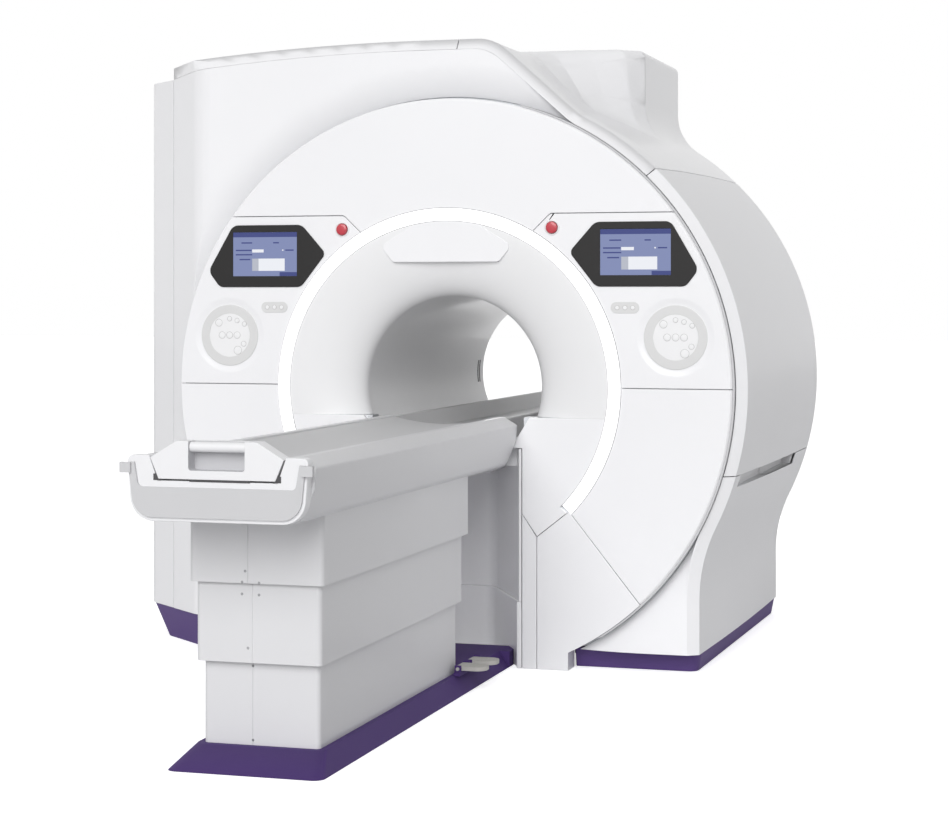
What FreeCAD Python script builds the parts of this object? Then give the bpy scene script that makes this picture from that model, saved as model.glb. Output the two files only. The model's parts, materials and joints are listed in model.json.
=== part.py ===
import FreeCAD, Part
import math
import os
from FreeCAD import Vector

# Magnetic resonance scanner with a 70 cm bore and a lifting patient table.
# Frame: +X to the right of someone facing the bore, +Y into the bore, +Z up, millimetres.
# Origin: on the floor, below the isocentre, at the centre of the four floor anchors.
# Depths are measured back from the front face, and radii from the bore axis.

# ---- fits and walls ---------------------------------------------------------
WALL = 12.0                  # moulded covers
SEAM = 3.0                   # joint between neighbouring covers
SEAT = 0.3                   # clearance of a seated piece
RUN = 0.5                    # gap round a push button's head
PIN_FIT = 0.05               # radial fit of a hinge pin
FRAME_T = 40.0               # structural plates and frames

# ---- magnet enclosure -------------------------------------------------------
ISO_HEIGHT = 1067.0          # bore axis above the floor
DEPTH = 1780.0               # front face to rear face
FRONT = -DEPTH / 2           # y of the front face
DISC_R = 1110.0              # round front cover
DISC_IN_R = 690.0            # its inner edge, round the lit ring
DISC_THICK = 25.0
DISC_EDGE = 7.0              # bevel of the disc's rim
BOSS_R = DISC_R - 2 * DISC_EDGE  # boss of the front frame behind the disc
REVEAL = 9.0                 # groove round the disc
FACE_SET = 25.0              # depth of the flat surround
BEVEL_W = 41.0               # bevelled band round the enclosure
BEVEL_D = 30.0
BAND_DEPTH = FACE_SET + BEVEL_D
FACE_REACH = 220.0           # depth within which the surround is parted from the side covers
LAND = 9.0                   # width of the frame that the bevelled band rests on
BARREL_R = DISC_R + REVEAL + BEVEL_W
BULGE = 36.0                 # swelling of the sides towards the rear
LEG_X = BARREL_R - 183.0     # right leg's outer side
WAIST_R = 615.0              # hollow between the barrel and the leg
REAR_DEPTH = 80.0            # rear cover
REAR_TAPER = 50.0
REAR_START = DEPTH - REAR_DEPTH
TOP_OVER = 181.0             # top of the enclosure over the barrel
TOP_Z = ISO_HEIGHT + BARREL_R + TOP_OVER
TOP_RISE = 42.0              # rise of the top towards the turret
TOP_DROP = 79.0              # fall of the top towards the left corner
LEFT_X = -BARREL_R - 231.0
LEFT_TOP = TOP_Z - 108.0     # top of the left side cover, a step below the top cover
LEFT_CORNER = 32.0
SLOPE_DEG = 48.2             # lean of the top's front shoulder
SLOPE_D = BARREL_R - 42.0    # the shoulder's distance from the bore axis
SLOPE_RISE = math.tan(math.radians(SLOPE_DEG))
SHOULDER_X = SLOPE_D / math.cos(math.radians(SLOPE_DEG)) - (TOP_Z - ISO_HEIGHT) * SLOPE_RISE
CROWN_X = SHOULDER_X - 286.5  # where the top starts to fall
SHOULDER_R = 170.0
SHOULDER_FLARE = 200.0       # hollow between the shoulder and the barrel
EDGE_SHARE = 0.3             # share of an offset that the shoulder's rounding takes
TURRET_X = BARREL_R - 590.0  # turret's right wall
TURRET_EDGE = 30.0
TURRET_FLARE = 205.0         # hollow between the turret and the barrel
COVE_W = 130.0               # the flat surround falls away towards the disc over this width
COVE_D = 35.0
COVE_STEPS = 3
TURRET_START = 450.0         # depth where the shoulder starts to rise
TURRET_FULL = DEPTH - 780.0  # depth where the turret stands upright
SWEEP_X = 120.0 - BARREL_R   # where the front left corner starts to sweep back
SWEEP_DEG = 41.0
SWEEP_IN_R = 150.0
SWEEP_OUT_R = 120.0
LEFT_SEAM_X = -BARREL_R - 60.0
TOP_SEAM_X = SHOULDER_X - 140.5
SHOULDER_SEAM_DEG = 45.7
SIDE_SEAM_Z = ISO_HEIGHT - 322.0
GRIP_DEPTHS = (140.0, 760.0)  # pull recess under the side seam
GRIP_H = 45.0
GRIP_IN = 28.0
RIGHT_BOTTOM = 75.0          # lower edge of the right side cover
LEFT_BOTTOM = 143.0
UNDER = 60.0                 # the master form runs this far below the floor
FACE_STEPS = 6               # sections that lift the shoulder into the turret
PLINTH_DEPTH = 102.0         # the plinth starts this far behind the front face
PLINTH_GAP = 1.0
PLINTH_LEAN = 15.0
PLINTH_LEFT_LEAN = 60.0
PLINTH_T = 24.0

# ---- magnet and coils -------------------------------------------------------
BORE_R = 352.0
LINER_T = 8.0
BODY_COIL_T = 15.0
GRADIENT_T = 90.0
COIL_INSET = 15.0            # each tube stops this far inside the one round it
CRYO_R = 950.0
CRYO_DEPTHS = (440.0, DEPTH - 140.0)
CRYO_EDGE = 60.0
POST_R = CRYO_R - 2 * CRYO_EDGE
POST_ANGLES = (35, 145, 215, 325)
POST_W = 70.0                # posts between the vessel and the cover frames
COLD_STAGES = ((110.0, 1020.0), (70.0, 1240.0))  # cold head's radius and height over the axis
VENT_R = 100.0
VENT_FLOOR = ISO_HEIGHT + 993.0  # top of the burst disc's housing at the foot of the vent pipe
FOOT_WEB = (450.0, 700.0)    # saddle under the vessel, inner and outer side
ANCHOR_X = 1560.0
ANCHOR_Y = 800.0
ANCHOR_R = 13.0

# ---- bore mouths ------------------------------------------------------------
BELL_R = DISC_IN_R - 52.0    # front funnel's rim
BELL_DEPTH = 125.0
BELL_T = 12.0
BELL_STEPS = 4               # cones that make up a funnel's face
BELL_BACK_STEPS = 1          # and its back
REAR_BELL_R = 430.0
RING_R = (BELL_R + 2.0, DISC_IN_R - 2.0)  # lit ring
RING_END_DEG = -43.6
RING_PROUD = 3.0
LEDGE_Z = ISO_HEIGHT - 113.0  # where the funnel stops above the apron
VISOR_X = 212.0
VISOR_LOW = ISO_HEIGHT + 481.0
VISOR_WIDE_Z = ISO_HEIGHT + 543.0
VISOR_EDGE = 24.0
VISOR_WIDE = 1.25            # widest place of the hood, as a share of its lower edge

# ---- front covers -----------------------------------------------------------
PANEL_TOP = ISO_HEIGHT + 663.0  # seam over the control panels
PANEL_LOW = ISO_HEIGHT + 3.0  # seam under them
CREST_X = 415.0              # corner of the upper cover's lower edge
CREST_IN = (255.0, ISO_HEIGHT + 508.0)
CREST_R = 25.0
NICHE_X = 305.0
NICHE_DEPTH = 420.0
NICHE_T = 10.0
NICHE_BACK_X = 90.0
NICHE_ROUND = 80.0
LINTEL_DEPTH = 75.0          # front of the beam that closes the niche's top under the tray
LINTEL_H = 110.0
DOCK_TOP = 254.0             # top of the docking cover in the niche
DOCK_STEP = 10.0
DOCK_REACH = 150.0           # depth of the table's docking tongue
APRON_TIP = (261.0, ISO_HEIGHT - 229.0)
APRON_LOW = ISO_HEIGHT - 477.0
VEE = (364.0, ISO_HEIGHT - 565.0)  # corners of the pedestal's top edge
VEE_OUT = (489.0, ISO_HEIGHT - 466.0)
SPLIT_END = (747.0, ISO_HEIGHT - 788.0)  # lower end of the slanted seam
PEDESTAL_X = 485.0

# ---- controls ---------------------------------------------------------------
BEZEL_LOW = ISO_HEIGHT + 385.0
BEZEL_TOP = ISO_HEIGHT + 629.0
BEZEL = ((DISC_R - 620, BEZEL_TOP - 113, 24), (DISC_R - 520, BEZEL_TOP, 45), (DISC_R - 230, BEZEL_TOP, 40),
         (DISC_R - 125, BEZEL_LOW + 63, 36), (DISC_R - 174, BEZEL_LOW, 34), (DISC_R - 517, BEZEL_LOW, 40))
BEZEL_T = 4.0
SCREEN_X = (DISC_R - 500.0, DISC_R - 230.0)
SCREEN_Z = (BEZEL_LOW + 43.0, BEZEL_TOP - 28.0)
PAD_AT = (DISC_R - 213.0, ISO_HEIGHT + 195.0)
PAD_R = 121.0
PAD_T = 3.0
DISH_R = 152.0
DISH_DEEP = 5.0
PILL_AT = (705.0, ISO_HEIGHT + 306.0)
PILL_SIZE = (110.0, 42.0)
PILL_T = 2.0
STOP_AT = (422.0, ISO_HEIGHT + 609.0)
STOP_R = 22.0
STOP_PROUD = 12.0
STOP_REACH = 30.0            # depth of the button's inner end

# ---- patient table ----------------------------------------------------------
TABLE_END = -2194.0          # table's foot end
TABLE_BACK = -10.0
RAIL_X = 240.0
RAIL_TOP = ISO_HEIGHT - 111.0
RAIL_EDGE = 5.0
BODY_X = 290.0               # widest place of the table's body
BODY_MID_Z = RAIL_TOP - 31.0
BODY_TUCK = (6.0, 60.0)      # where its side turns inwards
BODY_LOW_Z = RAIL_TOP - 191.0
BODY_LOW_X = 245.0
BODY_LOW_R = 40.0
TROUGH_TOP_X = 212.0
TROUGH_LOW_X = 186.0
TROUGH_Z = RAIL_TOP - 68.0
TROUGH_R = 4.0
TRAY_H = 80.0
TRAY_OVER = 560.0            # the tray in the bore reaches this far beyond the rear face
TRAY_WEB = 14.0
CRADLE_GAP = 5.0
CRADLE_TOP = RAIL_TOP - 6.0
CRADLE_RIM = 12.0
CRADLE_DISH = 24.0
HEAD_Z = RAIL_TOP + 43.0     # raised foot end of the cradle
HEAD_X = 125.0
HEAD_LEN = 60.0
HEAD_R = 8.0
HEAD_BACK = 14.0             # wall behind the grip
GRIP_X = 87.0
GRIP_R = 15.0
GRIP_FLOOR = 26.0
GRIP_GAP = 4.0
END_TOP_X = BODY_X - 8.0     # white frame that closes the table's foot end
END_LOW_X = BODY_X - 22.0
END_TOP_R = 18.0
END_LOW_R = 72.0
BUMPER_T = 8.0
BUMPER_TOP = (BODY_X - 16.0, RAIL_TOP - 20.0)
BUMPER_LOW = (BODY_X - 32.0, BODY_LOW_Z + 12.0, 64.0)
BUMPER_IN_TOP = (BODY_X - 34.0, RAIL_TOP - 20.0)
BUMPER_IN_LOW = (BODY_X - 46.0, BODY_LOW_Z + 100.0, 16.0)
BUTTRESS = (17.0, 15.0)      # half sizes of the bumper's corner blocks
BUTTRESS_Z = RAIL_TOP - 36.0
SKIRT_X = 250.0
SKIRT_FRONT = -2010.0
SKIRT_BACK = 20.0
SKIRT_H = 60.0
SKIRT_LIP = 21.0
SKIRT_R = 35.0
COVER_T = 6.0
COVER_R = 22.0
COVERS = {"lower": (188.0, -1858.0, -468.0), "middle": (202.0, -1884.0, -440.0),
          "upper": (217.0, -1903.0, -407.0)}  # half width, foot end, head end
COVER_EDGES = {"lower": (SKIRT_H, BODY_LOW_Z - 425.0), "middle": (BODY_LOW_Z - 453.0, BODY_LOW_Z - 180.0),
               "upper": (BODY_LOW_Z - 211.0, BODY_LOW_Z)}
COVER_FLOOR_T = 10.0
COLUMN_X = 150.0
COLUMN_T = 12.0
COLUMN_SPAN = 600.0
COLUMN_MID = (COVERS["lower"][1] + COVERS["lower"][2]) / 2
COLUMN_LAP = 45.0
COLUMN_OVER = 15.0
COLUMN_INNER = 310.0
PEDAL_AT = (-487.0, -354.0)
PEDAL_SIZE = (96.0, 90.0, 14.0)  # length, width, thickness
PEDAL_R = (6.0, 36.0)        # rounding at the hinge and at the tip
PEDAL_HINGE = (COVERS["middle"][0] + 14.0, 84.0)
PEDAL_PIN_R = 6.0
EAR_T = 8.0
EAR_H = 12.0

AXIS = Vector(0, 0, ISO_HEIGHT)
BACKWARDS = Vector(0, 1, 0)
FAR = 4000.0                 # beyond every face
TINY = 1e-6
parts = {}


# ---- outlines and simple solids ---------------------------------------------
def deep(depth):
    """y of a plane that lies this far behind the front face"""
    return FRONT + depth


def at_y(y):
    return lambda a, b: Vector(a, y, b)


def at_z(z):
    return lambda a, b: Vector(a, b, z)


def at_x(x):
    return lambda a, b: Vector(x, a, b)


def both_sides(right):
    """outline of a symmetrical piece from the corners of its right half"""
    return list(right) + [(-p[0],) + tuple(p[1:]) for p in reversed(right)]


def rounded(corners, place):
    """closed wire through corners (a, b, radius), each turned by its own radius"""
    count = len(corners)
    pts = [Vector(c[0], c[1], 0) for c in corners]
    radii = [c[2] if len(c) > 2 else 0 for c in corners]
    starts, ends, mids = [], [], []
    for i in range(count):
        to_prev = (pts[i - 1] - pts[i]).normalize()
        to_next = (pts[(i + 1) % count] - pts[i]).normalize()
        half = to_prev.getAngle(to_next) / 2
        reach = radii[i] / math.tan(half)
        starts.append(pts[i] + to_prev * reach)
        ends.append(pts[i] + to_next * reach)
        middle = (to_prev + to_next).normalize()
        mids.append(pts[i] + middle * (radii[i] / math.sin(half) - radii[i]))
    edges = []
    for i in range(count):
        if radii[i] > 0:
            arc = [place(p.x, p.y) for p in (starts[i], mids[i], ends[i])]
            edges.append(Part.Arc(*arc).toShape())
        after = starts[(i + 1) % count]
        if (after - ends[i]).Length > TINY:
            edges.append(Part.makeLine(place(ends[i].x, ends[i].y), place(after.x, after.y)))
    return Part.Wire(edges)


def slab(corners, y0, y1):
    """outline in x, z drawn out along y"""
    return Part.Face(rounded(corners, at_y(y0))).extrude(Vector(0, y1 - y0, 0))


def post(corners, z0, z1):
    """outline in x, y drawn out along z"""
    return Part.Face(rounded(corners, at_z(z0))).extrude(Vector(0, 0, z1 - z0))


def block(x0, x1, y0, y1, z0, z1):
    return Part.makeBox(x1 - x0, y1 - y0, z1 - z0, Vector(x0, y0, z0))


def upright(radius, x, y, z0, z1):
    return Part.makeCylinder(radius, z1 - z0, Vector(x, y, z0))


def peg(radius, x, z, y0, y1):
    """cylinder along the bore at x, z"""
    return Part.makeCylinder(radius, y1 - y0, Vector(x, y0, z), BACKWARDS)


def drum(radius, y0=-FAR, y1=FAR):
    """cylinder on the bore axis"""
    return peg(radius, 0, ISO_HEIGHT, y0, y1)


def hoop(inner, outer, y0, y1):
    return drum(outer, y0, y1).cut(drum(inner))


def turned(profile):
    """closed profile (radius, depth), turned round the bore axis, its seam at the bottom"""
    corners = [(deep(depth), ISO_HEIGHT - radius) for radius, depth in profile]
    return Part.Face(rounded(corners, at_x(0))).revolve(AXIS, BACKWARDS, 360)


def mirrored(shape):
    return shape.mirror(Vector(0, 0, 0), Vector(1, 0, 0))


def polar(radius, degrees):
    a = math.radians(degrees)
    return radius * math.cos(a), ISO_HEIGHT + radius * math.sin(a)


def zone(corners):
    """region in x, z that runs through the whole enclosure"""
    return slab(corners, -FAR, FAR)


def span(x0, x1, z0, z1):
    return block(x0, x1, -FAR, FAR, z0, z1)


def save(name, shape):
    shape = shape.removeSplitter()
    parts[name] = shape
    shape.exportStep("parts/%s.step" % name)


def save_pair(name, shape):
    save(name + "_right", shape)
    save(name + "_left", mirrored(shape))


# ---- enclosure master form --------------------------------------------------
def rise(depth):
    """0 where the shoulder slopes, 1 where the turret stands upright"""
    t = min(1.0, max(0.0, (depth - TURRET_START) / (TURRET_FULL - TURRET_START)))
    return t * t * (3 - 2 * t)


def swell(depth):
    return BULGE * (1 - ((REAR_START - depth) / (REAR_START - BAND_DEPTH)) ** 2)


def between(low, high, share):
    return low + (high - low) * share


def shoulder(depth, grow, barrel, top):
    """points and rounding of the flare, the leaning wall and the shoulder's corner"""
    s = rise(depth)
    flare = between(SHOULDER_FLARE, TURRET_FLARE, s) - grow
    edge = between(SHOULDER_R, TURRET_EDGE, s) + grow * EDGE_SHARE
    wall = between(SLOPE_D, TURRET_X, s) + grow
    lean = math.radians(between(SLOPE_DEG, 0, s))
    nx, nz = math.cos(lean), math.sin(lean)
    along = math.sqrt((barrel + flare) ** 2 - (wall + flare) ** 2)
    centre = ((wall + flare) * nx - along * nz, (wall + flare) * nz + along * nx)
    share = barrel / (barrel + flare)
    on_barrel = (centre[0] * share, centre[1] * share)
    on_wall = (centre[0] - flare * nx, centre[1] - flare * nz)
    corner_x = (wall - top * nz) / nx
    reach = edge * math.tan((math.pi / 2 - lean) / 2)
    wall_end = (corner_x + reach * nz, top - reach * nx)
    top_start = (corner_x - reach, top)
    return centre, on_barrel, on_wall, wall_end, top_start, (top_start[0], top - edge)


def left_corner(left, top):
    """crown that falls towards the left, and the rounding down to the left side"""
    low = top - TOP_DROP
    fall_end = (left + LEFT_CORNER, low)
    fall_mid = ((CROWN_X + fall_end[0]) / 2, top - TOP_DROP / 4)
    half = LEFT_CORNER * (1 - math.sqrt(0.5))
    corner_mid = (left + half, low - half)
    return ((CROWN_X, top), fall_mid, fall_end), (fall_end, corner_mid, (left, low - LEFT_CORNER))


def section(depth, grow, at=None):
    """outline of the enclosure at a depth, moved outwards by grow and drawn at depth 'at'"""
    y = deep(depth if at is None else at)
    grown = grow + swell(depth)
    barrel = BARREL_R + grown
    leg = LEG_X + grown
    waist = WAIST_R - grown
    top = TOP_Z + TOP_RISE * rise(depth) + grow - ISO_HEIGHT
    left = LEFT_X - grow
    low = -ISO_HEIGHT - UNDER

    def place(point):
        return Vector(point[0], y, point[1] + ISO_HEIGHT)

    def line(p, q):
        return Part.makeLine(place(p), place(q))

    def through(trio):
        return Part.Arc(*[place(p) for p in trio]).toShape()

    def arc(centre, p, q):
        """the short way round a centre from p to q"""
        mx, mz = (p[0] + q[0]) / 2 - centre[0], (p[1] + q[1]) / 2 - centre[1]
        stretch = math.hypot(p[0] - centre[0], p[1] - centre[1]) / math.hypot(mx, mz)
        return through((p, (centre[0] + mx * stretch, centre[1] + mz * stretch), q))

    hollow = (leg + waist, -math.sqrt((barrel + waist) ** 2 - (leg + waist) ** 2))
    share = barrel / (barrel + waist)
    leg_top = (leg, hollow[1])
    hip = (hollow[0] * share, hollow[1] * share)
    flare, on_barrel, on_wall, wall_end, top_start, corner = shoulder(depth, grow, barrel, top)
    crown, turn = left_corner(left, top)
    return Part.Wire([
        line((leg, low), leg_top), arc(hollow, leg_top, hip), arc((0, 0), hip, on_barrel),
        arc(flare, on_barrel, on_wall), line(on_wall, wall_end), arc(corner, wall_end, top_start),
        line(top_start, crown[0]), through(crown), through(turn),
        line(turn[2], (left, low)), line((left, low), (leg, low)),
    ])


def prism(grow, d0, d1):
    """the outline just behind the bevelled band, drawn straight back"""
    return Part.Face(section(BAND_DEPTH, grow, d0)).extrude(Vector(0, d1 - d0, 0))


def hull(grow):
    """enclosure behind the bevelled band, with the shoulder lifted into the turret"""
    step = (TURRET_FULL - TURRET_START) / (FACE_STEPS - 1)
    lift = [TURRET_START + i * step for i in range(FACE_STEPS)]
    middles = [(BAND_DEPTH + TURRET_START) / 2, (TURRET_FULL + REAR_START) / 2] if grow == 0 else []
    depths = sorted([BAND_DEPTH, REAR_START] + lift + middles)
    return Part.makeLoft([section(d, grow) for d in depths], True, True)


def plan_face(grow, z):
    """plan of the enclosure with its swept-back front left corner"""
    fall = (SWEEP_X - LEFT_X) * math.tan(math.radians(SWEEP_DEG))
    plan = [
        (FAR, deep(FACE_SET)),
        (SWEEP_X, deep(FACE_SET), SWEEP_IN_R),
        (LEFT_X, deep(FACE_SET) + fall, SWEEP_OUT_R),
        (LEFT_X, FAR),
        (FAR, FAR),
    ]
    face = Part.Face(rounded(plan, at_z(z)))
    return face.makeOffset2D(grow) if grow else face


def plan_prism(grow, z0, z1):
    return plan_face(grow, z0).extrude(Vector(0, 0, z1 - z0))


def cove(offset):
    """what the flat surround loses round the disc, grown by an offset"""
    start = DISC_R + REVEAL + SEAT
    shares = [i / COVE_STEPS for i in range(COVE_STEPS + 1)]
    low = [(start + COVE_W * share + offset, FACE_SET + COVE_D * (1 - share) ** 2 + offset)
           for share in shares]
    return turned([(BOSS_R, 0), (BOSS_R, low[0][1])] + low + [(low[-1][0], 0)])


def step(offset):
    """what the enclosure loses above its left side cover, grown by an offset"""
    return span(-FAR, LEFT_SEAM_X - SEAM / 2 + offset, LEFT_TOP - offset, FAR)


def enclosure_skin():
    """bevelled, hollow skin of the whole enclosure, without the round front"""
    bevel = Part.makeLoft([section(BAND_DEPTH, -BEVEL_W, FACE_SET), section(BAND_DEPTH, 0)], True, True)
    outer = bevel.fuse(hull(0)).common(plan_prism(0, -FAR, FAR)).cut(step(0))
    inner = prism(-BEVEL_W, 0, BAND_DEPTH + 1).fuse(hull(-WALL)).common(plan_prism(-WALL, -FAR, FAR))
    inside = prism(-BEVEL_W - SEAM, 0, 2 * BAND_DEPTH)
    skin = outer.cut(cove(0).common(inside)).cut(inner.cut(step(WALL)).cut(cove(WALL).common(inside)))
    return skin.cut(drum(DISC_R + REVEAL + SEAT, -FAR, deep(2 * BAND_DEPTH)))


def enclosure_covers():
    """the skin, parted along its seams"""
    skin = enclosure_skin()
    half = SEAM / 2
    turn = math.degrees(half / BARREL_R)
    above = SHOULDER_SEAM_DEG + turn
    below = SHOULDER_SEAM_DEG - turn
    mid_z = ISO_HEIGHT + DISC_IN_R / 2
    left = skin.common(span(-FAR, LEFT_SEAM_X - half, LEFT_BOTTOM, FAR))
    rest = skin.common(span(LEFT_SEAM_X + half, FAR, RIGHT_BOTTOM, FAR))
    surround = rest.common(prism(-BEVEL_W - SEAM, 0, FACE_REACH)).common(zone([
        (-FAR, LEFT_BOTTOM), (0, LEFT_BOTTOM), (0, mid_z), (FAR, mid_z), (FAR, FAR), (-FAR, FAR)]))
    band = rest.cut(prism(-BEVEL_W, 0, FACE_REACH))
    top_left = band.common(span(-FAR, TOP_SEAM_X - half, mid_z, FAR))
    top_right = band.common(zone([
        (TOP_SEAM_X + half, mid_z), polar(DISC_IN_R, above), polar(FAR, above), (FAR, FAR),
        (TOP_SEAM_X + half, FAR)]))
    side_upper = band.common(zone([
        polar(DISC_IN_R, below), polar(FAR, below), (FAR, SIDE_SEAM_Z + half),
        (DISC_IN_R / 2, SIDE_SEAM_Z + half)]))
    side_lower = rest.common(span(PEDESTAL_X + SEAM, FAR, RIGHT_BOTTOM, SIDE_SEAM_Z - half))
    save("side_cover_left", left)
    save("front_surround", surround)
    save("top_cover_left", top_left)
    save("top_cover_turret", top_right.cut(vent_column(VENT_R + WALL + SEAM, FAR)))
    save("side_cover_upper", side_upper)
    save("side_cover_lower", side_lower.fuse(grip_pocket()).cut(grip_box(0, GRIP_IN, 1)))


def vent_column(radius, top, low=ISO_HEIGHT):
    """upright cylinder on the vent's axis"""
    return upright(radius, TURRET_X / 2, deep((TURRET_FULL + REAR_START) / 2), low, top)


def grip_box(extra, inward, over):
    side = math.sqrt(BARREL_R ** 2 - (ISO_HEIGHT - SIDE_SEAM_Z) ** 2)
    top = SIDE_SEAM_Z - SEAM / 2
    return block(side - inward, FAR, deep(GRIP_DEPTHS[0] - extra), deep(GRIP_DEPTHS[1] + extra),
                 top - GRIP_H - extra, top + over)


def grip_pocket():
    return grip_box(WALL, GRIP_IN + WALL, 0).common(hull(0))


def posts(d0, d1):
    """four posts between the vessel and a cover frame"""
    half = POST_W / 2
    centres = [polar(POST_R, angle) for angle in POST_ANGLES]
    return [block(x - half, x + half, deep(d0), deep(d1), z - half, z + half) for x, z in centres]


def rear():
    seat = REAR_START + SEAM
    outer = Part.makeLoft([section(REAR_START, 0, seat), section(REAR_START, -REAR_TAPER, DEPTH)], True, True)
    inner = Part.makeLoft([section(REAR_START, -WALL, seat),
                           section(REAR_START, -REAR_TAPER - WALL, DEPTH - WALL)], True, True)
    outer = outer.cut(step(0))
    inner = inner.cut(step(WALL))
    opening = drum(REAR_BELL_R + SEAM)
    above = span(-FAR, FAR, LEFT_BOTTOM, FAR)
    save("rear_cover", outer.cut(inner).common(above).cut(opening))
    plate = Part.Face(section(REAR_START, -WALL - 2 * SEAT, REAR_START - FRAME_T))
    plate = plate.extrude(Vector(0, FRAME_T, 0))
    collar = drum(DISC_IN_R, deep(REAR_START - FRAME_T), deep(DEPTH - WALL))
    frame = plate.fuse(collar).common(above).cut(drum(REAR_BELL_R + SEAM + WALL)).cut(step(WALL + SEAM))
    save("rear_frame", frame.fuse(posts(CRYO_DEPTHS[1], REAR_START - FRAME_T)))
    save("rear_funnel", turned(bell_face(REAR_BELL_R, DEPTH, REAR_START - SEAM, 0, BELL_STEPS)
                               + bell_back(REAR_BELL_R, DEPTH, REAR_START - SEAM)))


def bell_face(rim, mouth, throat, inset, steps):
    """profile (radius, depth) of a funnel's flared face, from the throat to the mouth"""
    side = 1 if mouth > throat else -1
    wide = rim - BORE_R + inset
    long = abs(mouth - throat) + inset
    turns = [math.pi / 2 * i / steps for i in range(steps + 1)]
    return [(rim - wide * math.cos(t), throat + side * long * math.sin(t)) for t in turns]


def bell_back(rim, mouth, throat):
    return list(reversed(bell_face(rim, mouth, throat, -BELL_T, BELL_BACK_STEPS)))


def magnet():
    d0, d1 = CRYO_DEPTHS
    inner = BORE_R + LINER_T + BODY_COIL_T + GRADIENT_T + 3 * SEAT
    save("cryostat", turned([(inner, d0), (CRYO_R - CRYO_EDGE, d0), (CRYO_R, d0 + CRYO_EDGE),
                             (CRYO_R, d1 - CRYO_EDGE), (CRYO_R - CRYO_EDGE, d1), (inner, d1)]))
    radius = BORE_R
    save("bore_liner", hoop(radius, radius + LINER_T, deep(BELL_DEPTH), deep(REAR_START - SEAM)))
    radius += LINER_T + SEAT
    inset = 2 * COIL_INSET
    save("body_coil", hoop(radius, radius + BODY_COIL_T, deep(d0 + inset), deep(d1 - inset)))
    radius += BODY_COIL_T + SEAT
    save("gradient_coil", hoop(radius, radius + GRADIENT_T, deep(d0 + COIL_INSET), deep(d1 - COIL_INSET)))
    save_pair("foot", foot())
    vessel = drum(CRYO_R + SEAT)
    pipe = vent_column(VENT_R + WALL, TOP_Z + TOP_RISE - WALL / 2)
    save("vent_pipe", pipe.cut(vessel).cut(vent_column(VENT_R, FAR, VENT_FLOOR)))
    stages = [mirrored(vent_column(radius, ISO_HEIGHT + high)) for radius, high in COLD_STAGES]
    save("cold_head", stages[0].multiFuse(stages[1:]).cut(vessel))


def foot():
    """saddle under the vessel with a base plate and two anchor holes"""
    d0, d1 = CRYO_DEPTHS
    y0 = deep(d0 + CRYO_EDGE)
    y1 = deep(d1 - CRYO_EDGE)
    web = block(FOOT_WEB[0], FOOT_WEB[1], y0, y1, 0, ISO_HEIGHT / 2)
    front = -ANCHOR_Y / 2 - 2 * FRAME_T
    plate = block(FOOT_WEB[0] - FRAME_T, ANCHOR_X / 2 + 2 * FRAME_T, front, y1, 0, FRAME_T)
    shape = web.fuse(plate).cut(drum(CRYO_R + SEAT))
    for y in (-ANCHOR_Y / 2, ANCHOR_Y / 2):
        shape = shape.cut(upright(ANCHOR_R, ANCHOR_X / 2, y, -FRAME_T, 2 * FRAME_T))
    return shape


def front_frame():
    """plate behind the round front, with a rim that carries the surround and the band"""
    back = BAND_DEPTH + FRAME_T
    frame = prism(-BEVEL_W - SEAT, FACE_SET + WALL, back).fuse(prism(LAND - BEVEL_W, BAND_DEPTH, back))
    frame = frame.common(plan_prism(-WALL - SEAT, -FAR, FAR)).cut(step(WALL + SEAM)).cut(cove(WALL + SEAT))
    frame = frame.fuse(drum(BOSS_R, deep(DISC_THICK), deep(FACE_SET + WALL + SEAT)))
    frame = frame.cut(drum(BELL_R - 2 * FRAME_T).common(span(-FAR, FAR, LEDGE_Z, FAR)))
    frame = frame.cut(span(-NICHE_X, NICHE_X, -FAR, LEDGE_Z + 1))
    frame = frame.cut(span(-FAR, -PEDESTAL_X, -FAR, LEFT_BOTTOM + WALL))
    frame = frame.cut(span(PEDESTAL_X, FAR, -FAR, RIGHT_BOTTOM + WALL))
    frame = frame.cut(span(-FAR, FAR, -FAR, RIGHT_BOTTOM))
    for side in (-1, 1):
        frame = frame.cut(peg(STOP_R + RUN, side * STOP_AT[0], STOP_AT[1], -FAR, FAR))
    save("front_frame", frame.fuse(posts(back, CRYO_DEPTHS[0])))


# ---- bore mouths ------------------------------------------------------------
def light_and_funnel():
    ring = hoop(RING_R[0], RING_R[1], deep(-RING_PROUD), deep(DISC_THICK))
    low = zone([(0, ISO_HEIGHT), polar(FAR, RING_END_DEG), polar(FAR, 180 - RING_END_DEG)])
    save("light_ring", ring.cut(low))
    lip = (BELL_R, DISC_THICK)
    flange = [lip, (BELL_R - 2 * FRAME_T, DISC_THICK)]
    bell = turned(bell_face(BELL_R, 0, BELL_DEPTH, 0, BELL_STEPS) + flange
                  + bell_back(BELL_R, 0, BELL_DEPTH)[1:])
    save("front_funnel", bell.common(span(-FAR, FAR, LEDGE_Z + SEAT, FAR)))
    wide = VISOR_WIDE * VISOR_X
    outline = both_sides([(VISOR_X, VISOR_LOW, VISOR_EDGE), (wide, VISOR_WIDE_Z, VISOR_EDGE),
                          (VISOR_X / 2, ISO_HEIGHT + BELL_R)])
    hood = slab(outline, deep(-RING_PROUD), deep(BELL_DEPTH))
    air = turned(bell_face(BELL_R, 0, BELL_DEPTH, SEAT, BELL_STEPS)
                 + [(BELL_R, -BELL_DEPTH), (1, -BELL_DEPTH), (1, BELL_DEPTH)])
    save("visor", hood.common(drum(BELL_R - SEAT)).common(air))


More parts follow.
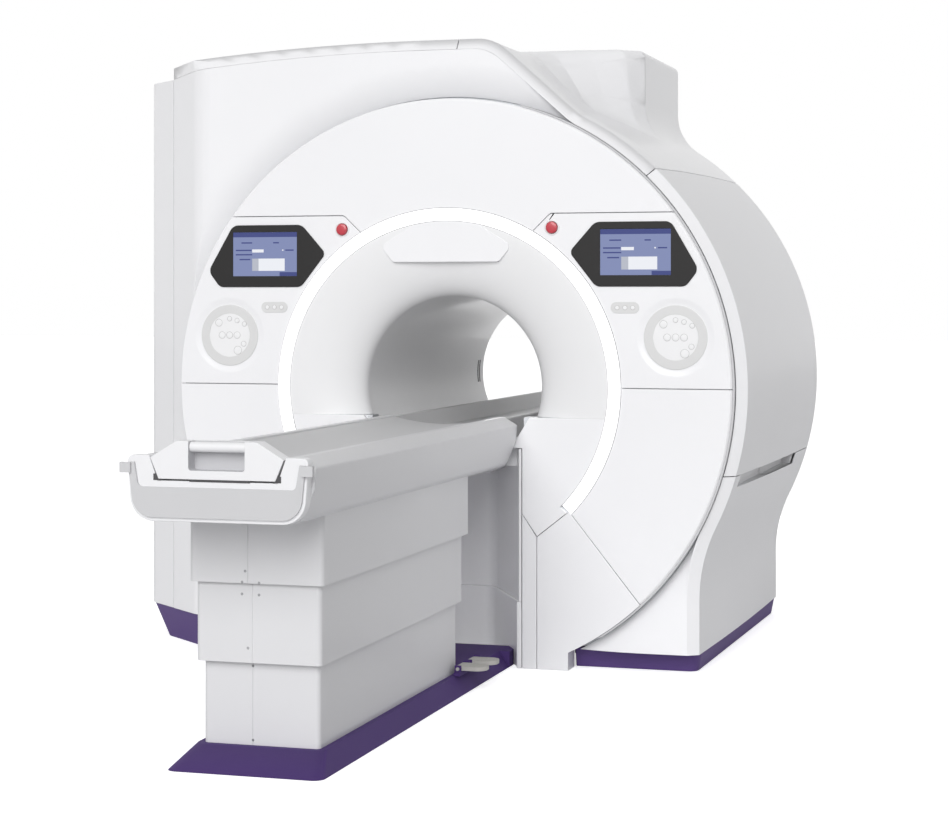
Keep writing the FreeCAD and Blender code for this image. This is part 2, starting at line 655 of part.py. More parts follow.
# ---- front covers -----------------------------------------------------------
def disc():
    """flat ring of the front covers with a bevelled rim"""
    return turned([(DISC_IN_R, 0), (DISC_R - DISC_EDGE, 0), (DISC_R, DISC_EDGE), (DISC_R, DISC_THICK),
                   (DISC_IN_R, DISC_THICK)])


def crest(gap):
    """region of the upper front cover"""
    side = [(FAR, PANEL_TOP + gap), (CREST_X, PANEL_TOP + gap, CREST_R), (CREST_IN[0], CREST_IN[1] + gap)]
    return zone(both_sides(side) + [(-FAR, FAR), (FAR, FAR)])


def split_line(shift):
    """ends of the slanted seam under a lower front cover, moved sideways by shift"""
    dx = SPLIT_END[0] - VEE_OUT[0]
    dz = SPLIT_END[1] - VEE_OUT[1]
    size = math.hypot(dx, dz)
    x = VEE_OUT[0] - dz / size * shift
    z = VEE_OUT[1] + dx / size * shift
    return (x - dx / 3, z - dz / 3), (x + 2 * dx, z + 2 * dz)


def front_covers():
    half = SEAM / 2
    ring = disc()
    save("upper_front_cover", ring.common(crest(half)))
    panel = ring.common(span(0, FAR, PANEL_LOW + half, PANEL_TOP + CREST_X)).cut(crest(-half))
    save_pair("control_panel", panel.cut(panel_recess()))
    start, end = split_line(half)
    low = zone([start, end, (FAR, end[1]), (FAR, PANEL_LOW - half), (start[0], PANEL_LOW - half)])
    save_pair("lower_front_cover", ring.common(low))
    save_pair("apron", apron())
    save_pair("pedestal", pedestal())


def panel_recess():
    """dish round the key pad and the hole for the stop button"""
    dish = Part.makeCone(DISH_R, PAD_R, DISH_DEEP, Vector(PAD_AT[0], FRONT, PAD_AT[1]), BACKWARDS)
    return dish.fuse(peg(STOP_R + RUN, STOP_AT[0], STOP_AT[1], -FAR, FAR))


def apron():
    """cover between the funnel, the niche and the pedestal, with the ledge beside the bridge"""
    bore_x = math.sqrt((BORE_R - SEAT) ** 2 - (ISO_HEIGHT - LEDGE_Z) ** 2)
    outline = slab([
        (bore_x, LEDGE_Z), APRON_TIP, (NICHE_X, APRON_TIP[1]), (NICHE_X, APRON_LOW), (VEE[0], VEE[1] + SEAM),
        (VEE_OUT[0], VEE_OUT[1] + SEAM), polar(FAR, RING_END_DEG), (FAR, LEDGE_Z)], deep(0), deep(DISC_THICK))
    below = zone([(0, ISO_HEIGHT), polar(FAR, RING_END_DEG - 1), (0, -FAR)])
    within = drum(DISC_IN_R - SEAM / 2)
    return outline.common(drum(BELL_R).fuse(within.common(below)))


def pedestal():
    """lower plate beside the niche, with its toe on the floor"""
    start, end = split_line(-SEAM / 2)
    plate = slab([VEE, VEE_OUT, end, (end[0], -FAR), (VEE[0], -FAR)], deep(0), deep(DISC_THICK))
    plate = plate.common(drum(DISC_R)).common(span(0, FAR, 0, FAR))
    reveal_x = VEE[0] - SEAM
    inner = slab([(NICHE_X, 0), (reveal_x, 0), (reveal_x, VEE[1]), (NICHE_X, APRON_LOW - SEAM)],
                 deep(0), deep(DISC_THICK))
    toe = block(VEE[0], PEDESTAL_X, deep(0), deep(PLINTH_DEPTH), 0, RIGHT_BOTTOM)
    back = block(NICHE_X, PEDESTAL_X, deep(DISC_THICK / 2), deep(PLINTH_DEPTH), 0, RIGHT_BOTTOM)
    web = block(NICHE_X, VEE[0] + WALL, deep(DISC_THICK / 2), deep(DISC_THICK), 0, VEE[1])
    return plate.multiFuse([inner, web, toe, back])


def niche(inset, z0, z1):
    """air or wall of the docking niche between two heights"""
    side = NICHE_X - SEAM
    front = deep(-2 * DISC_THICK)
    plan = both_sides([(side, front), (side, deep(DISC_THICK)),
                       (NICHE_BACK_X, deep(NICHE_DEPTH), NICHE_ROUND)])
    face = Part.Face(rounded(plan, at_z(z0)))
    if inset:
        face = face.makeOffset2D(-inset)
    return face.extrude(Vector(0, 0, z1 - z0)).common(block(-FAR, FAR, deep(0), FAR, z0, z1))


def dock():
    side = NICHE_X - SEAM
    shell = niche(0, DOCK_TOP + SEAT, APRON_TIP[1] - SEAM).cut(niche(NICHE_T, 0, FAR))
    shell = shell.cut(drum(BORE_R + LINER_T + SEAT))
    top = LEDGE_Z - TRAY_H
    lintel = block(-side, side, deep(LINTEL_DEPTH), deep(BELL_DEPTH - SEAM), top - LINTEL_H, top)
    save("dock_niche", shell.fuse(lintel))
    save("dock_cover", niche(0, 0, DOCK_TOP).cut(niche(NICHE_T + DOCK_STEP, -1, FAR)))


def plinths():
    """low base under the enclosure, leaning inwards towards the floor"""
    back = deep(REAR_START - SEAM)
    front = deep(PLINTH_DEPTH + PLINTH_GAP)
    inner_x = PEDESTAL_X + SEAM
    side = LEG_X - 2 * SEAM
    wires = []
    for lean, z in ((PLINTH_LEAN, 0), (0, RIGHT_BOTTOM)):
        x = side - lean
        y = front + lean
        wires.append(rounded([(inner_x, y), (x, y, FRAME_T), (x + BULGE, back), (inner_x, back)], at_z(z)))
    solid = Part.makeLoft(wires, True, True)
    hollow = block(-FAR, side - PLINTH_LEAN - PLINTH_T, front + 2 * PLINTH_LEAN + PLINTH_T, FAR, -FAR, FAR)
    save("plinth_right", solid.cut(hollow))
    edge = WALL / 2
    wires = [plan_face(-edge - PLINTH_LEFT_LEAN, 0).OuterWire, plan_face(-edge, LEFT_BOTTOM).OuterWire]
    solid = Part.makeLoft(wires, True, True).cut(plan_prism(-edge - PLINTH_LEFT_LEAN - PLINTH_T, -FAR, FAR))
    save("plinth_left", solid.common(block(-FAR, -PEDESTAL_X, FRONT, back, 0, FAR)))


# ---- controls ---------------------------------------------------------------
def controls():
    x0, x1 = SCREEN_X
    z0, z1 = SCREEN_Z
    bezel = slab(BEZEL, FRONT - BEZEL_T, FRONT)
    save_pair("bezel", bezel.cut(block(x0, x1, -FAR, FAR, z0, z1)))
    save_pair("screen", block(x0 + SEAT, x1 - SEAT, FRONT - BEZEL_T / 2, FRONT, z0 + SEAT, z1 - SEAT))
    dish = FRONT + DISH_DEEP
    save_pair("key_pad", peg(PAD_R - SEAT, PAD_AT[0], PAD_AT[1], dish - PAD_T, dish))
    w, h = PILL_SIZE[0] / 2, PILL_SIZE[1] / 2
    cx, cz = PILL_AT
    corners = [(cx - w, cz - h), (cx + w, cz - h), (cx + w, cz + h), (cx - w, cz + h)]
    save_pair("pill_pad", slab([(x, z, h - TINY * h) for x, z in corners], FRONT - PILL_T, FRONT))
    save_pair("stop_button", peg(STOP_R, STOP_AT[0], STOP_AT[1], FRONT - STOP_PROUD, deep(STOP_REACH)))


# ---- patient table ----------------------------------------------------------
def bridge():
    """tray that carries the cradle through the bore and out behind it, on a hollow beam"""
    y1 = deep(REAR_START - SEAM)
    tray_low = LEDGE_Z - TRAY_H
    top = LEDGE_Z - SEAM - 1
    tray = slab(both_sides([(TROUGH_LOW_X, TROUGH_Z, TROUGH_R), (TROUGH_TOP_X, top), (RAIL_X, top, RAIL_EDGE),
                            (RAIL_X, tray_low)]), deep(-1), deep(DEPTH + TRAY_OVER))
    beam = block(-RAIL_X, RAIL_X, deep(BELL_DEPTH + 1), y1, ISO_HEIGHT - BORE_R, tray_low)
    hollow = block(-RAIL_X + TRAY_WEB, RAIL_X - TRAY_WEB, -FAR, FAR, 0, tray_low)
    beam = beam.cut(hollow.common(drum(BORE_R - 2 * TRAY_WEB)))
    save("bore_bridge", tray.fuse(beam).common(drum(BORE_R - SEAT)))


def box_tube(half, y0, y1, z0, z1, wall, radius):
    outer = post([(half, y0, radius), (half, y1, radius), (-half, y1, radius), (-half, y0, radius)], z0, z1)
    return outer.cut(block(-half + wall, half - wall, y0 + wall, y1 - wall, -FAR, FAR))


def cover(name):
    half, y0, y1 = COVERS[name]
    z0, z1 = COVER_EDGES[name]
    return box_tube(half, deep(y0), deep(y1), z0, z1, COVER_T, COVER_R - COVER_T)


def stage(index, z0, z1):
    """one tube of the lifting column, inside the one before it"""
    inset = index * (COLUMN_T + SEAT)
    reach = COLUMN_SPAN / 2 - inset
    return box_tube(COLUMN_X - inset, deep(COLUMN_MID - reach), deep(COLUMN_MID + reach), z0, z1, COLUMN_T, 0)


def table_base():
    lip = COVERS["lower"][0] + SKIRT_LIP
    back = deep(SKIRT_BACK)
    low = both_sides([(SKIRT_X, back), (SKIRT_X, deep(SKIRT_FRONT), SKIRT_R)])
    high = both_sides([(lip, back), (lip, deep(COVERS["lower"][1] - SKIRT_LIP), SKIRT_R)])
    base = Part.makeLoft([rounded(low, at_z(0)), rounded(high, at_z(SKIRT_H))], True, True)
    tongue = niche(NICHE_T + DOCK_STEP + SEAT, 0, SKIRT_H)
    tongue = tongue.common(block(-SKIRT_X, SKIRT_X, back - 1, deep(DOCK_REACH), 0, SKIRT_H))
    save("table_base", base.fuse(tongue))
    save("table_cover_lower", cover("lower"))
    save("column_outer", stage(0, SKIRT_H, COVER_EDGES["lower"][1]))
    save("pedal_bracket", pedal_bracket())


def pedal_bracket():
    """rail with two ears beside each pedal"""
    x, z = PEDAL_HINGE
    first = deep(min(PEDAL_AT)) - PEDAL_SIZE[1] / 2 - 3 * EAR_T
    last = deep(max(PEDAL_AT)) + PEDAL_SIZE[1] / 2 + 3 * EAR_T
    shape = block(x - EAR_H, x + EAR_H, first, last, SKIRT_H, z - EAR_H)
    for at in PEDAL_AT:
        for side in (-1, 1):
            y = deep(at) + side * (PEDAL_SIZE[1] / 2 + EAR_T)
            shape = shape.fuse(block(x - EAR_H, x + EAR_H, y - EAR_T / 2, y + EAR_T / 2, SKIRT_H, z + EAR_H))
    return shape.cut(peg(PEDAL_PIN_R + PIN_FIT, x, z, first, last))


def pedal(at):
    """rounded foot plate on a hinge pin"""
    x, z = PEDAL_HINGE
    w, d, t = PEDAL_SIZE
    y = deep(at)
    near, tip = PEDAL_R
    heel = x - EAR_H
    end = x + w
    plan = [(heel, y - d / 2, near), (end, y - d / 2, tip), (end, y + d / 2, tip), (heel, y + d / 2, near)]
    pin = peg(PEDAL_PIN_R, x, z, y - d / 2 - 2 * EAR_T, y + d / 2 + 2 * EAR_T)
    return post(plan, z - t / 2, z + t / 2).fuse(pin)


def table_lift():
    low, high = COVER_EDGES["middle"]
    half, y0, y1 = COVERS["middle"]
    wall = COVER_T
    web = block(-half + wall, half - wall, deep(y0) + wall, deep(y1) - wall, high - COVER_FLOOR_T, high)
    side = COLUMN_X - COLUMN_T
    reach = COLUMN_SPAN / 2 - COLUMN_T
    web = web.cut(block(-side, side, deep(COLUMN_MID - reach), deep(COLUMN_MID + reach), low, FAR))
    save("table_cover_middle", cover("middle").fuse(web))
    save("column_middle", stage(1, COVER_EDGES["lower"][1] - COLUMN_LAP, high + COLUMN_OVER))
    save("column_inner", stage(2, BODY_LOW_Z - COLUMN_INNER, BODY_LOW_Z))
    save("table_cover_upper", cover("upper"))
    body = both_sides([
        (TROUGH_LOW_X, TROUGH_Z, TROUGH_R), (TROUGH_TOP_X, RAIL_TOP), (RAIL_X, RAIL_TOP, RAIL_EDGE),
        (BODY_X, BODY_MID_Z, HEAD_R), (BODY_X - BODY_TUCK[0], BODY_MID_Z - BODY_TUCK[1]),
        (BODY_LOW_X, BODY_LOW_Z, BODY_LOW_R)])
    save("table_body", slab(body, deep(TABLE_END + FRAME_T), deep(TABLE_BACK)))


def table_end():
    y0 = deep(TABLE_END)
    frame = both_sides([(TROUGH_LOW_X, TROUGH_Z - CRADLE_GAP), (TROUGH_TOP_X, RAIL_TOP),
                        (END_TOP_X, RAIL_TOP, END_TOP_R), (END_LOW_X, BODY_LOW_Z, END_LOW_R)])
    save("table_end_frame", slab(frame, y0, deep(TABLE_END + FRAME_T)))
    arms = both_sides([BUMPER_TOP, BUMPER_LOW])
    inside = both_sides([BUMPER_IN_LOW, BUMPER_IN_TOP])
    turn = len(inside) // 2
    bumper = slab(arms + inside[turn:] + inside[:turn], y0 - BUMPER_T, y0)
    half_x, half_z = BUTTRESS
    z0, z1 = BUTTRESS_Z - half_z, BUTTRESS_Z + half_z
    for x in (-END_TOP_X, END_TOP_X):
        bumper = bumper.fuse(block(x - half_x, x + half_x, y0 - 2 * BUMPER_T, y0, z0, z1))
    save("table_end_bumper", bumper)


def cradle():
    """long dished tray with a raised, gripped foot end"""
    low = TROUGH_Z + SEAT
    top_x = TROUGH_TOP_X - CRADLE_GAP
    low_x = TROUGH_LOW_X - CRADLE_GAP
    rim = top_x - CRADLE_RIM
    y0 = deep(TABLE_END - BUMPER_T / 2)
    sides = [(rim, CRADLE_TOP), (top_x, CRADLE_TOP), (low_x, low)]
    corners = [Vector(x, y0, z) for x, z in both_sides(sides)]
    edges = [Part.makeLine(a, b) for a, b in zip(corners, corners[1:])]
    dish = Vector(0, y0, CRADLE_TOP - CRADLE_DISH)
    edges.append(Part.Arc(corners[-1], dish, corners[0]).toShape())
    board = Part.Face(Part.Wire(edges)).extrude(Vector(0, deep(TABLE_BACK) - y0, 0))
    head = slab(both_sides([(low_x, low), (top_x, CRADLE_TOP), (HEAD_X, HEAD_Z, HEAD_R)]), y0, y0 + HEAD_LEN)
    floor = low + GRIP_FLOOR
    recess = slab(both_sides([(GRIP_X, floor, HEAD_R), (GRIP_X, FAR)]), -FAR, y0 + HEAD_LEN - HEAD_BACK)
    save("cradle", board.fuse(head).cut(recess))
    reach = GRIP_X - SEAT
    at = Vector(-reach, y0 + GRIP_R + GRIP_GAP, HEAD_Z - GRIP_R - GRIP_GAP / 2)
    save("cradle_grip", Part.makeCylinder(GRIP_R, 2 * reach, at, Vector(1, 0, 0)))


os.makedirs("parts", exist_ok=True)
enclosure_covers()
rear()
magnet()
front_frame()
light_and_funnel()
front_covers()
dock()
plinths()
controls()
bridge()
table_base()
table_lift()
table_end()
cradle()
for number, place_at in enumerate(PEDAL_AT):
    save("pedal_%d" % (number + 1), pedal(place_at))
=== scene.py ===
import json
import math
from contextlib import contextmanager

import bmesh
import bpy
from bpy.props import FloatProperty, IntProperty, PointerProperty, StringProperty
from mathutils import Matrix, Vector


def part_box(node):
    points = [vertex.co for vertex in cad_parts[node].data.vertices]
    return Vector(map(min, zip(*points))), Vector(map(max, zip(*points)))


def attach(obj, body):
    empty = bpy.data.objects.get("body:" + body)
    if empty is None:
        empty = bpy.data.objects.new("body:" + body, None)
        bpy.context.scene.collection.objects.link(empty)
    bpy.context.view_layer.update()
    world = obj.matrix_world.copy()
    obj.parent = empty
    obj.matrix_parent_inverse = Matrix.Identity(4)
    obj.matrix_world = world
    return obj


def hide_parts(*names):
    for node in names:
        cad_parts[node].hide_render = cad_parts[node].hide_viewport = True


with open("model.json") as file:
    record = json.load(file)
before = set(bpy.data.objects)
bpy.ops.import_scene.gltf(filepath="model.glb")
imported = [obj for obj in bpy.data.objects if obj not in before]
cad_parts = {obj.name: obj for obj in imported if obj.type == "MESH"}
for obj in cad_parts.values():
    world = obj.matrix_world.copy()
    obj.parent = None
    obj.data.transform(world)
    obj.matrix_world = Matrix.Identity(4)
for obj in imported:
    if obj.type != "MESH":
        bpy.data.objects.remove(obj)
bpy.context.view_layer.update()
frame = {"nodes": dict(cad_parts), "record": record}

bl_info = {
    "name": "Scanner dressing",
    "version": (1, 0, 0),
    "blender": (4, 5, 0),
    "location": "3D View > Sidebar > Scanner",
    "description": "Finishes, trim and studio for a magnetic resonance scanner with a patient table",
    "category": "Object",
}

NODES = frame["nodes"]
BODY_OF = {node: body for body, nodes in frame["record"]["behaviour"]["bodies"].items() for node in nodes}
MM = 0.001
SIDES = ("right", "left")

# Places that the solids share with the trim, in metres, from the frame itself.
LINER_LOW, LINER_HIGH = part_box("bore_liner")
LINER_WALL = 8 * MM
FRONT_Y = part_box("upper_front_cover")[0].y
AXIS_Z = (LINER_LOW.z + LINER_HIGH.z) / 2
BORE_R = (LINER_HIGH.x - LINER_LOW.x) / 2 - LINER_WALL

WELD = 0.02 * MM                # vertices of the loose triangles that are the same corner
POLE = 0.005 * MM               # radius of a turned profile at its axis, welded shut afterwards
FLAT = 0.4                      # degrees within which neighbouring facets become one face
FLAT_FINE = 0.03                # the same where every facet of a slow curve is needed
FRONT = Vector((0, FRONT_Y, AXIS_Z))


# ---- settings a user would change -------
class ScannerFinish(bpy.types.PropertyGroup):
    cover: StringProperty(name="Cover white", description="Lacquer on the moulded covers", default="#F1F1F3")
    side: StringProperty(name="Side white", description="Lacquer on the side covers", default="#F1F1F3")
    table: StringProperty(name="Table white", description="Satin covers of the table", default="#DDDDDF")
    liner: StringProperty(name="Liner white", description="Bore tube and funnels", default="#ECECED")
    base: StringProperty(name="Base purple", description="The table's skirt", default="#4A3470")
    plinth: StringProperty(name="Plinth purple", description="Plinths of the magnet", default="#59437F")
    bezel: StringProperty(name="Bezel black", description="Frame round each display", default="#262525")
    screen: StringProperty(name="Screen blue", description="Field of the display", default="#7F8AB6")
    screen_dark: StringProperty(name="Bar blue", description="Bars of the display", default="#2E3A80")
    button: StringProperty(name="Button red", description="Stop buttons", default="#C23B47")
    pad: StringProperty(name="Pad grey", description="Ring of the key pads", default="#DADADA")
    bumper: StringProperty(name="Bumper grey", description="Soft bumper of the table", default="#CFCFD1")
    cradle: StringProperty(name="Cradle grey", description="Shell of the sliding top", default="#CACACB")
    pedal: StringProperty(name="Pedal grey", description="Foot pedals", default="#BDBBB6")


class ScannerTrim(bpy.types.PropertyGroup):
    edge: FloatProperty(name="Cover edge", description="Rounding of the covers' edges", default=2.5 * MM,
                        unit="LENGTH")
    table_edge: FloatProperty(name="Table edge", description="Rounding of the table's edges", default=4 * MM,
                              unit="LENGTH")
    groove: FloatProperty(name="Groove", description="Width of the seam down the table's foot end", default=2.4 * MM,
                          unit="LENGTH")
    screw: FloatProperty(name="Screw", description="Radius of the cover screws", default=4 * MM, unit="LENGTH")
    turns: IntProperty(name="Turns", description="Segments round the large rings", default=192, min=48)


class ScannerStudio(bpy.types.PropertyGroup):
    key: FloatProperty(name="Key light", description="Strength of the soft main light", default=2.2)
    fill: FloatProperty(name="Fill light", description="Power of the panel at the barrel's side", default=15.0,
                        unit="POWER")
    back: FloatProperty(name="Back light", description="Power of the panel behind the magnet", default=28.0,
                        unit="POWER")
    ambient: FloatProperty(name="Ambient", description="Light from all round", default=0.28)
    paper: StringProperty(name="Floor", description="Colour of the studio floor", default="#F1F1F2")


# ---- colour and node helpers ------------
def linear(code, share=1.0):
    """sRGB hex code to a linear colour, darkened to a share"""
    parts = [int(code[i:i + 2], 16) / 255 for i in (1, 3, 5)]
    return tuple(share * (p / 12.92 if p <= 0.04045 else ((p + 0.055) / 1.055) ** 2.4) for p in parts) + (1.0,)


def add(tree, kind, settings=None, inputs=None):
    """adds one node: settings are its properties, inputs are values or sockets to link"""
    node = tree.nodes.new(kind)
    for name, value in (settings or {}).items():
        setattr(node, name, value)
    for name, value in (inputs or {}).items():
        if isinstance(value, bpy.types.NodeSocket):
            tree.links.new(value, node.inputs[name])
        else:
            node.inputs[name].default_value = value
    return node


def new_material(name):
    """a new material, its node tree, and the place on the object that the tree starts from"""
    material = bpy.data.materials.new(name)
    material.use_nodes = True
    tree = material.node_tree
    tree.nodes.clear()
    return material, tree, add(tree, "ShaderNodeTexCoord").outputs["Object"]


# ---- finishes ---------------------------
def moulded(name, code, rough=0.32, coat=0.25, wave_mm=90.0, wave_depth=0.25, shine=0.5):
    """lacquered moulding: slow waves of the lacquer, faint changes of tone and of gloss"""
    material, tree, place = new_material(name)
    waves = add(tree, "ShaderNodeTexNoise", inputs={
        "Vector": place, "Scale": 1000 / wave_mm, "Detail": 2.0, "Roughness": 0.4})
    patches = add(tree, "ShaderNodeTexNoise", inputs={"Vector": place, "Scale": 1000 / 700, "Detail": 3.0})
    tone = add(tree, "ShaderNodeMix", {"data_type": "RGBA"}, {
        "Factor": patches.outputs["Fac"], 6: linear(code, 0.952), 7: linear(code)})
    gloss = add(tree, "ShaderNodeMapRange", inputs={
        "Value": patches.outputs["Fac"], "To Min": rough * 0.9, "To Max": rough * 1.15})
    bump = add(tree, "ShaderNodeBump", inputs={
        "Height": waves.outputs["Fac"], "Strength": 0.25, "Distance": wave_depth * MM})
    shader = add(tree, "ShaderNodeBsdfPrincipled", inputs={
        "Base Color": tone.outputs[2], "Roughness": gloss.outputs["Result"],
        "Normal": bump.outputs["Normal"], "IOR": 1.5, "Specular IOR Level": shine, "Coat Weight": coat,
        "Coat Roughness": 0.08})
    add(tree, "ShaderNodeOutputMaterial", inputs={"Surface": shader.outputs["BSDF"]})
    return material


def grained(name, code, rough=0.55, grain_mm=1.6, depth=0.12, shine=0.5):
    """textured moulding: a fine spark-eroded grain, drawn coarse enough to show"""
    material, tree, place = new_material(name)
    grain = add(tree, "ShaderNodeTexVoronoi", {"feature": "F1"}, {"Vector": place, "Scale": 1000 / grain_mm})
    patches = add(tree, "ShaderNodeTexNoise", inputs={"Vector": place, "Scale": 1000 / 300, "Detail": 4.0})
    tone = add(tree, "ShaderNodeMix", {"data_type": "RGBA"}, {
        "Factor": patches.outputs["Fac"], 6: linear(code, 0.93), 7: linear(code)})
    gloss = add(tree, "ShaderNodeMapRange", inputs={
        "Value": grain.outputs["Distance"], "To Min": rough * 0.92, "To Max": rough * 1.08})
    bump = add(tree, "ShaderNodeBump", inputs={
        "Height": grain.outputs["Distance"], "Strength": 0.3, "Distance": depth * MM})
    shader = add(tree, "ShaderNodeBsdfPrincipled", inputs={
        "Base Color": tone.outputs[2], "Roughness": gloss.outputs["Result"],
        "Normal": bump.outputs["Normal"], "IOR": 1.5, "Specular IOR Level": shine})
    add(tree, "ShaderNodeOutputMaterial", inputs={"Surface": shader.outputs["BSDF"]})
    return material


def worked_metal(name, code, rough, line_mm, stretch):
    """milled, rolled or drawn metal: fine lines along one direction"""
    material, tree, place = new_material(name)
    drawn = add(tree, "ShaderNodeMapping", inputs={"Vector": place, "Scale": stretch})
    lines = add(tree, "ShaderNodeTexNoise", inputs={
        "Vector": drawn.outputs["Vector"], "Scale": 1000 / line_mm, "Detail": 3.0})
    gloss = add(tree, "ShaderNodeMapRange", inputs={
        "Value": lines.outputs["Fac"], "To Min": rough * 0.8, "To Max": rough * 1.25})
    bump = add(tree, "ShaderNodeBump", inputs={
        "Height": lines.outputs["Fac"], "Strength": 0.2, "Distance": 0.1 * MM})
    shader = add(tree, "ShaderNodeBsdfPrincipled", inputs={
        "Base Color": linear(code), "Metallic": 1.0, "Roughness": gloss.outputs["Result"],
        "Normal": bump.outputs["Normal"]})
    add(tree, "ShaderNodeOutputMaterial", inputs={"Surface": shader.outputs["BSDF"]})
    return material


def lit(name, code, strength, rough=0.35, mottle_mm=4.0, body="#202226"):
    """translucent sheet lit from behind: even glow with a faint mottle of the diffuser"""
    material, tree, place = new_material(name)
    mottle = add(tree, "ShaderNodeTexNoise", inputs={"Vector": place, "Scale": 1000 / mottle_mm, "Detail": 2.0})
    glow = add(tree, "ShaderNodeMapRange", inputs={
        "Value": mottle.outputs["Fac"], "To Min": strength * 0.97, "To Max": strength * 1.03})
    bump = add(tree, "ShaderNodeBump", inputs={
        "Height": mottle.outputs["Fac"], "Strength": 0.1, "Distance": 0.1 * MM})
    shader = add(tree, "ShaderNodeBsdfPrincipled", inputs={
        "Base Color": linear(body), "Roughness": rough, "Normal": bump.outputs["Normal"],
        "Emission Color": linear(code), "Emission Strength": glow.outputs["Result"]})
    add(tree, "ShaderNodeOutputMaterial", inputs={"Surface": shader.outputs["BSDF"]})
    return material


FINISHES = {}


def make_finishes(colours):
    """every finish of the scanner, by the name of the surface"""
    FINISHES.update(
        # Polyurethane lacquer on vacuum-formed ABS: clean satin white with a soft, clear reflection.
        cover=moulded("lacquered_abs_front_covers", colours.cover),
        # The same lacquer on the large side covers, duller.
        side=moulded("lacquered_abs_side_covers", colours.side, rough=0.42, coat=0.1),
        # Painted structural foam on the table: satin, with the slow waves of a large moulding.
        table=moulded("painted_foam_moulding_table", colours.table, rough=0.4, coat=0.1, wave_mm=120),
        # Gelcoated glass-fibre of the bore tube and its funnels: even, softly glossy, nearly white.
        liner=moulded("gelcoated_fibreglass_bore", colours.liner, rough=0.38, coat=0.15, wave_mm=160),
        # Through-coloured polypropylene skirt: deep purple with a fine grain against scuffs.
        base=grained("moulded_polypropylene_purple", colours.base, rough=0.65, shine=0.25),
        # The plinths' sheet of the same plastic, pressed smoother and a little paler.
        plinth=grained("pressed_polypropylene_purple", colours.plinth, rough=0.55, depth=0.06, shine=0.4),
        # Satin black polycarbonate frame: dark, with a weak, blurred reflection.
        bezel=moulded("satin_polycarbonate_bezel", colours.bezel, rough=0.4, coat=0.0, wave_depth=0.05,
                      shine=0.25),
        # Liquid crystal display under hardened glass: lit fields of plain colour.
        screen=lit("lit_display_field", colours.screen, 0.9, rough=0.15, mottle_mm=2.0),
        screen_dark=lit("lit_display_bar", colours.screen_dark, 0.9, rough=0.15, mottle_mm=2.0),
        screen_white=lit("lit_display_box", "#F2F4FA", 0.9, rough=0.15, mottle_mm=2.0),
        screen_grey=lit("lit_display_tab", "#B9BDC9", 0.9, rough=0.15, mottle_mm=2.0),
        # Opal acrylic strip with lamps behind: the brightest surface, nearly without shading.
        ring=lit("opal_acrylic_lit_ring", "#FFFFFF", 0.75, body="#F0F0F0"),
        # Moulded acetal button: saturated red with a small sharp highlight.
        button=moulded("moulded_acetal_red", colours.button, rough=0.25, coat=0.3, wave_depth=0.05),
        # Printed polyester membrane of the key pads: dull pale grey.
        pad=grained("polyester_membrane_grey", colours.pad, rough=0.5, grain_mm=1.0, depth=0.05),
        pad_white=grained("polyester_membrane_white", "#EFEFF0", rough=0.5, grain_mm=1.0, depth=0.05),
        outline=grained("printed_membrane_outline", "#B7B5B6", rough=0.5, grain_mm=1.0, depth=0.05),
        # Thermoplastic rubber bumper: matt light grey.
        bumper=grained("thermoplastic_rubber_bumper", colours.bumper, rough=0.6),
        # Moulded rubber of the stops and air slots: matt dark grey. The same dark grey also makes the strip under
        # the cradle's foot end, which is painted shadow of the gap there.
        dark_rubber=grained("moulded_rubber_dark", "#4E4D4F", rough=0.7),
        # Extruded silicone seals in the joints: soft, pale and dull.
        seal=grained("extruded_silicone_seal", "#C9C9CB", rough=0.6, grain_mm=1.2, depth=0.05),
        ring_seal=grained("extruded_silicone_seal_grey", "#8E8E91", rough=0.6, grain_mm=1.2, depth=0.05),
        # Foam-filled laminate of the sliding top: matt, a little darker than the covers.
        cradle=moulded("laminated_composite_cradle", colours.cradle, rough=0.5, coat=0.0, wave_mm=60),
        # Painted shade inside the grip's recess: the laminate there is made greyer than the head round it, standing
        # for the shade that falls in the recess.
        recess=moulded("painted_composite_recess", "#CACACD", rough=0.55, coat=0.0, wave_mm=60),
        # Grained rubber soles of the pedals.
        pedal=grained("moulded_rubber_pedal", colours.pedal, rough=0.6, grain_mm=2.2, depth=0.3),
        # Zinc-plated steel screw heads, small and fairly dark.
        screw=worked_metal("zinc_plated_steel_screw", "#8C8D90", 0.35, 0.6, (1, 1, 1)),
        # Rolled stainless steel of the vessel, drawn lines round its barrel.
        vessel_steel=worked_metal("rolled_stainless_steel", "#B4B6B9", 0.35, 2.0, (1, 12, 1)),
        # Powder-coated steel feet: an even, dull grey.
        foot_steel=grained("powder_coated_steel_grey", "#8A8C90", rough=0.6),
        # Milled aluminium frames: bright with straight cutter marks.
        frame_aluminium=worked_metal("milled_aluminium", "#BFC1C4", 0.4, 1.5, (1, 1, 10)),
        # Anodised aluminium columns: satin grey with lines along the draw.
        column_aluminium=worked_metal("anodised_aluminium_column", "#B6B8BB", 0.3, 1.0, (8, 8, 0.4)),
        # Cast epoxy over the coils: dull amber.
        coil_resin=grained("cast_epoxy_resin", "#B8A888", rough=0.5, grain_mm=3.0, depth=0.2),
    )


# ---- shaping helpers --------------------
def work_on(piece):
    """selects only this piece and makes it active"""
    bpy.ops.object.select_all(action="DESELECT")
    piece.select_set(True)
    bpy.context.view_layer.objects.active = piece


@contextmanager
def editing(piece):
    """edit mode on this piece alone, with all of it selected"""
    work_on(piece)
    bpy.ops.object.mode_set(mode="EDIT")
    bpy.ops.mesh.select_all(action="SELECT")
    yield
    bpy.ops.object.mode_set(mode="OBJECT")


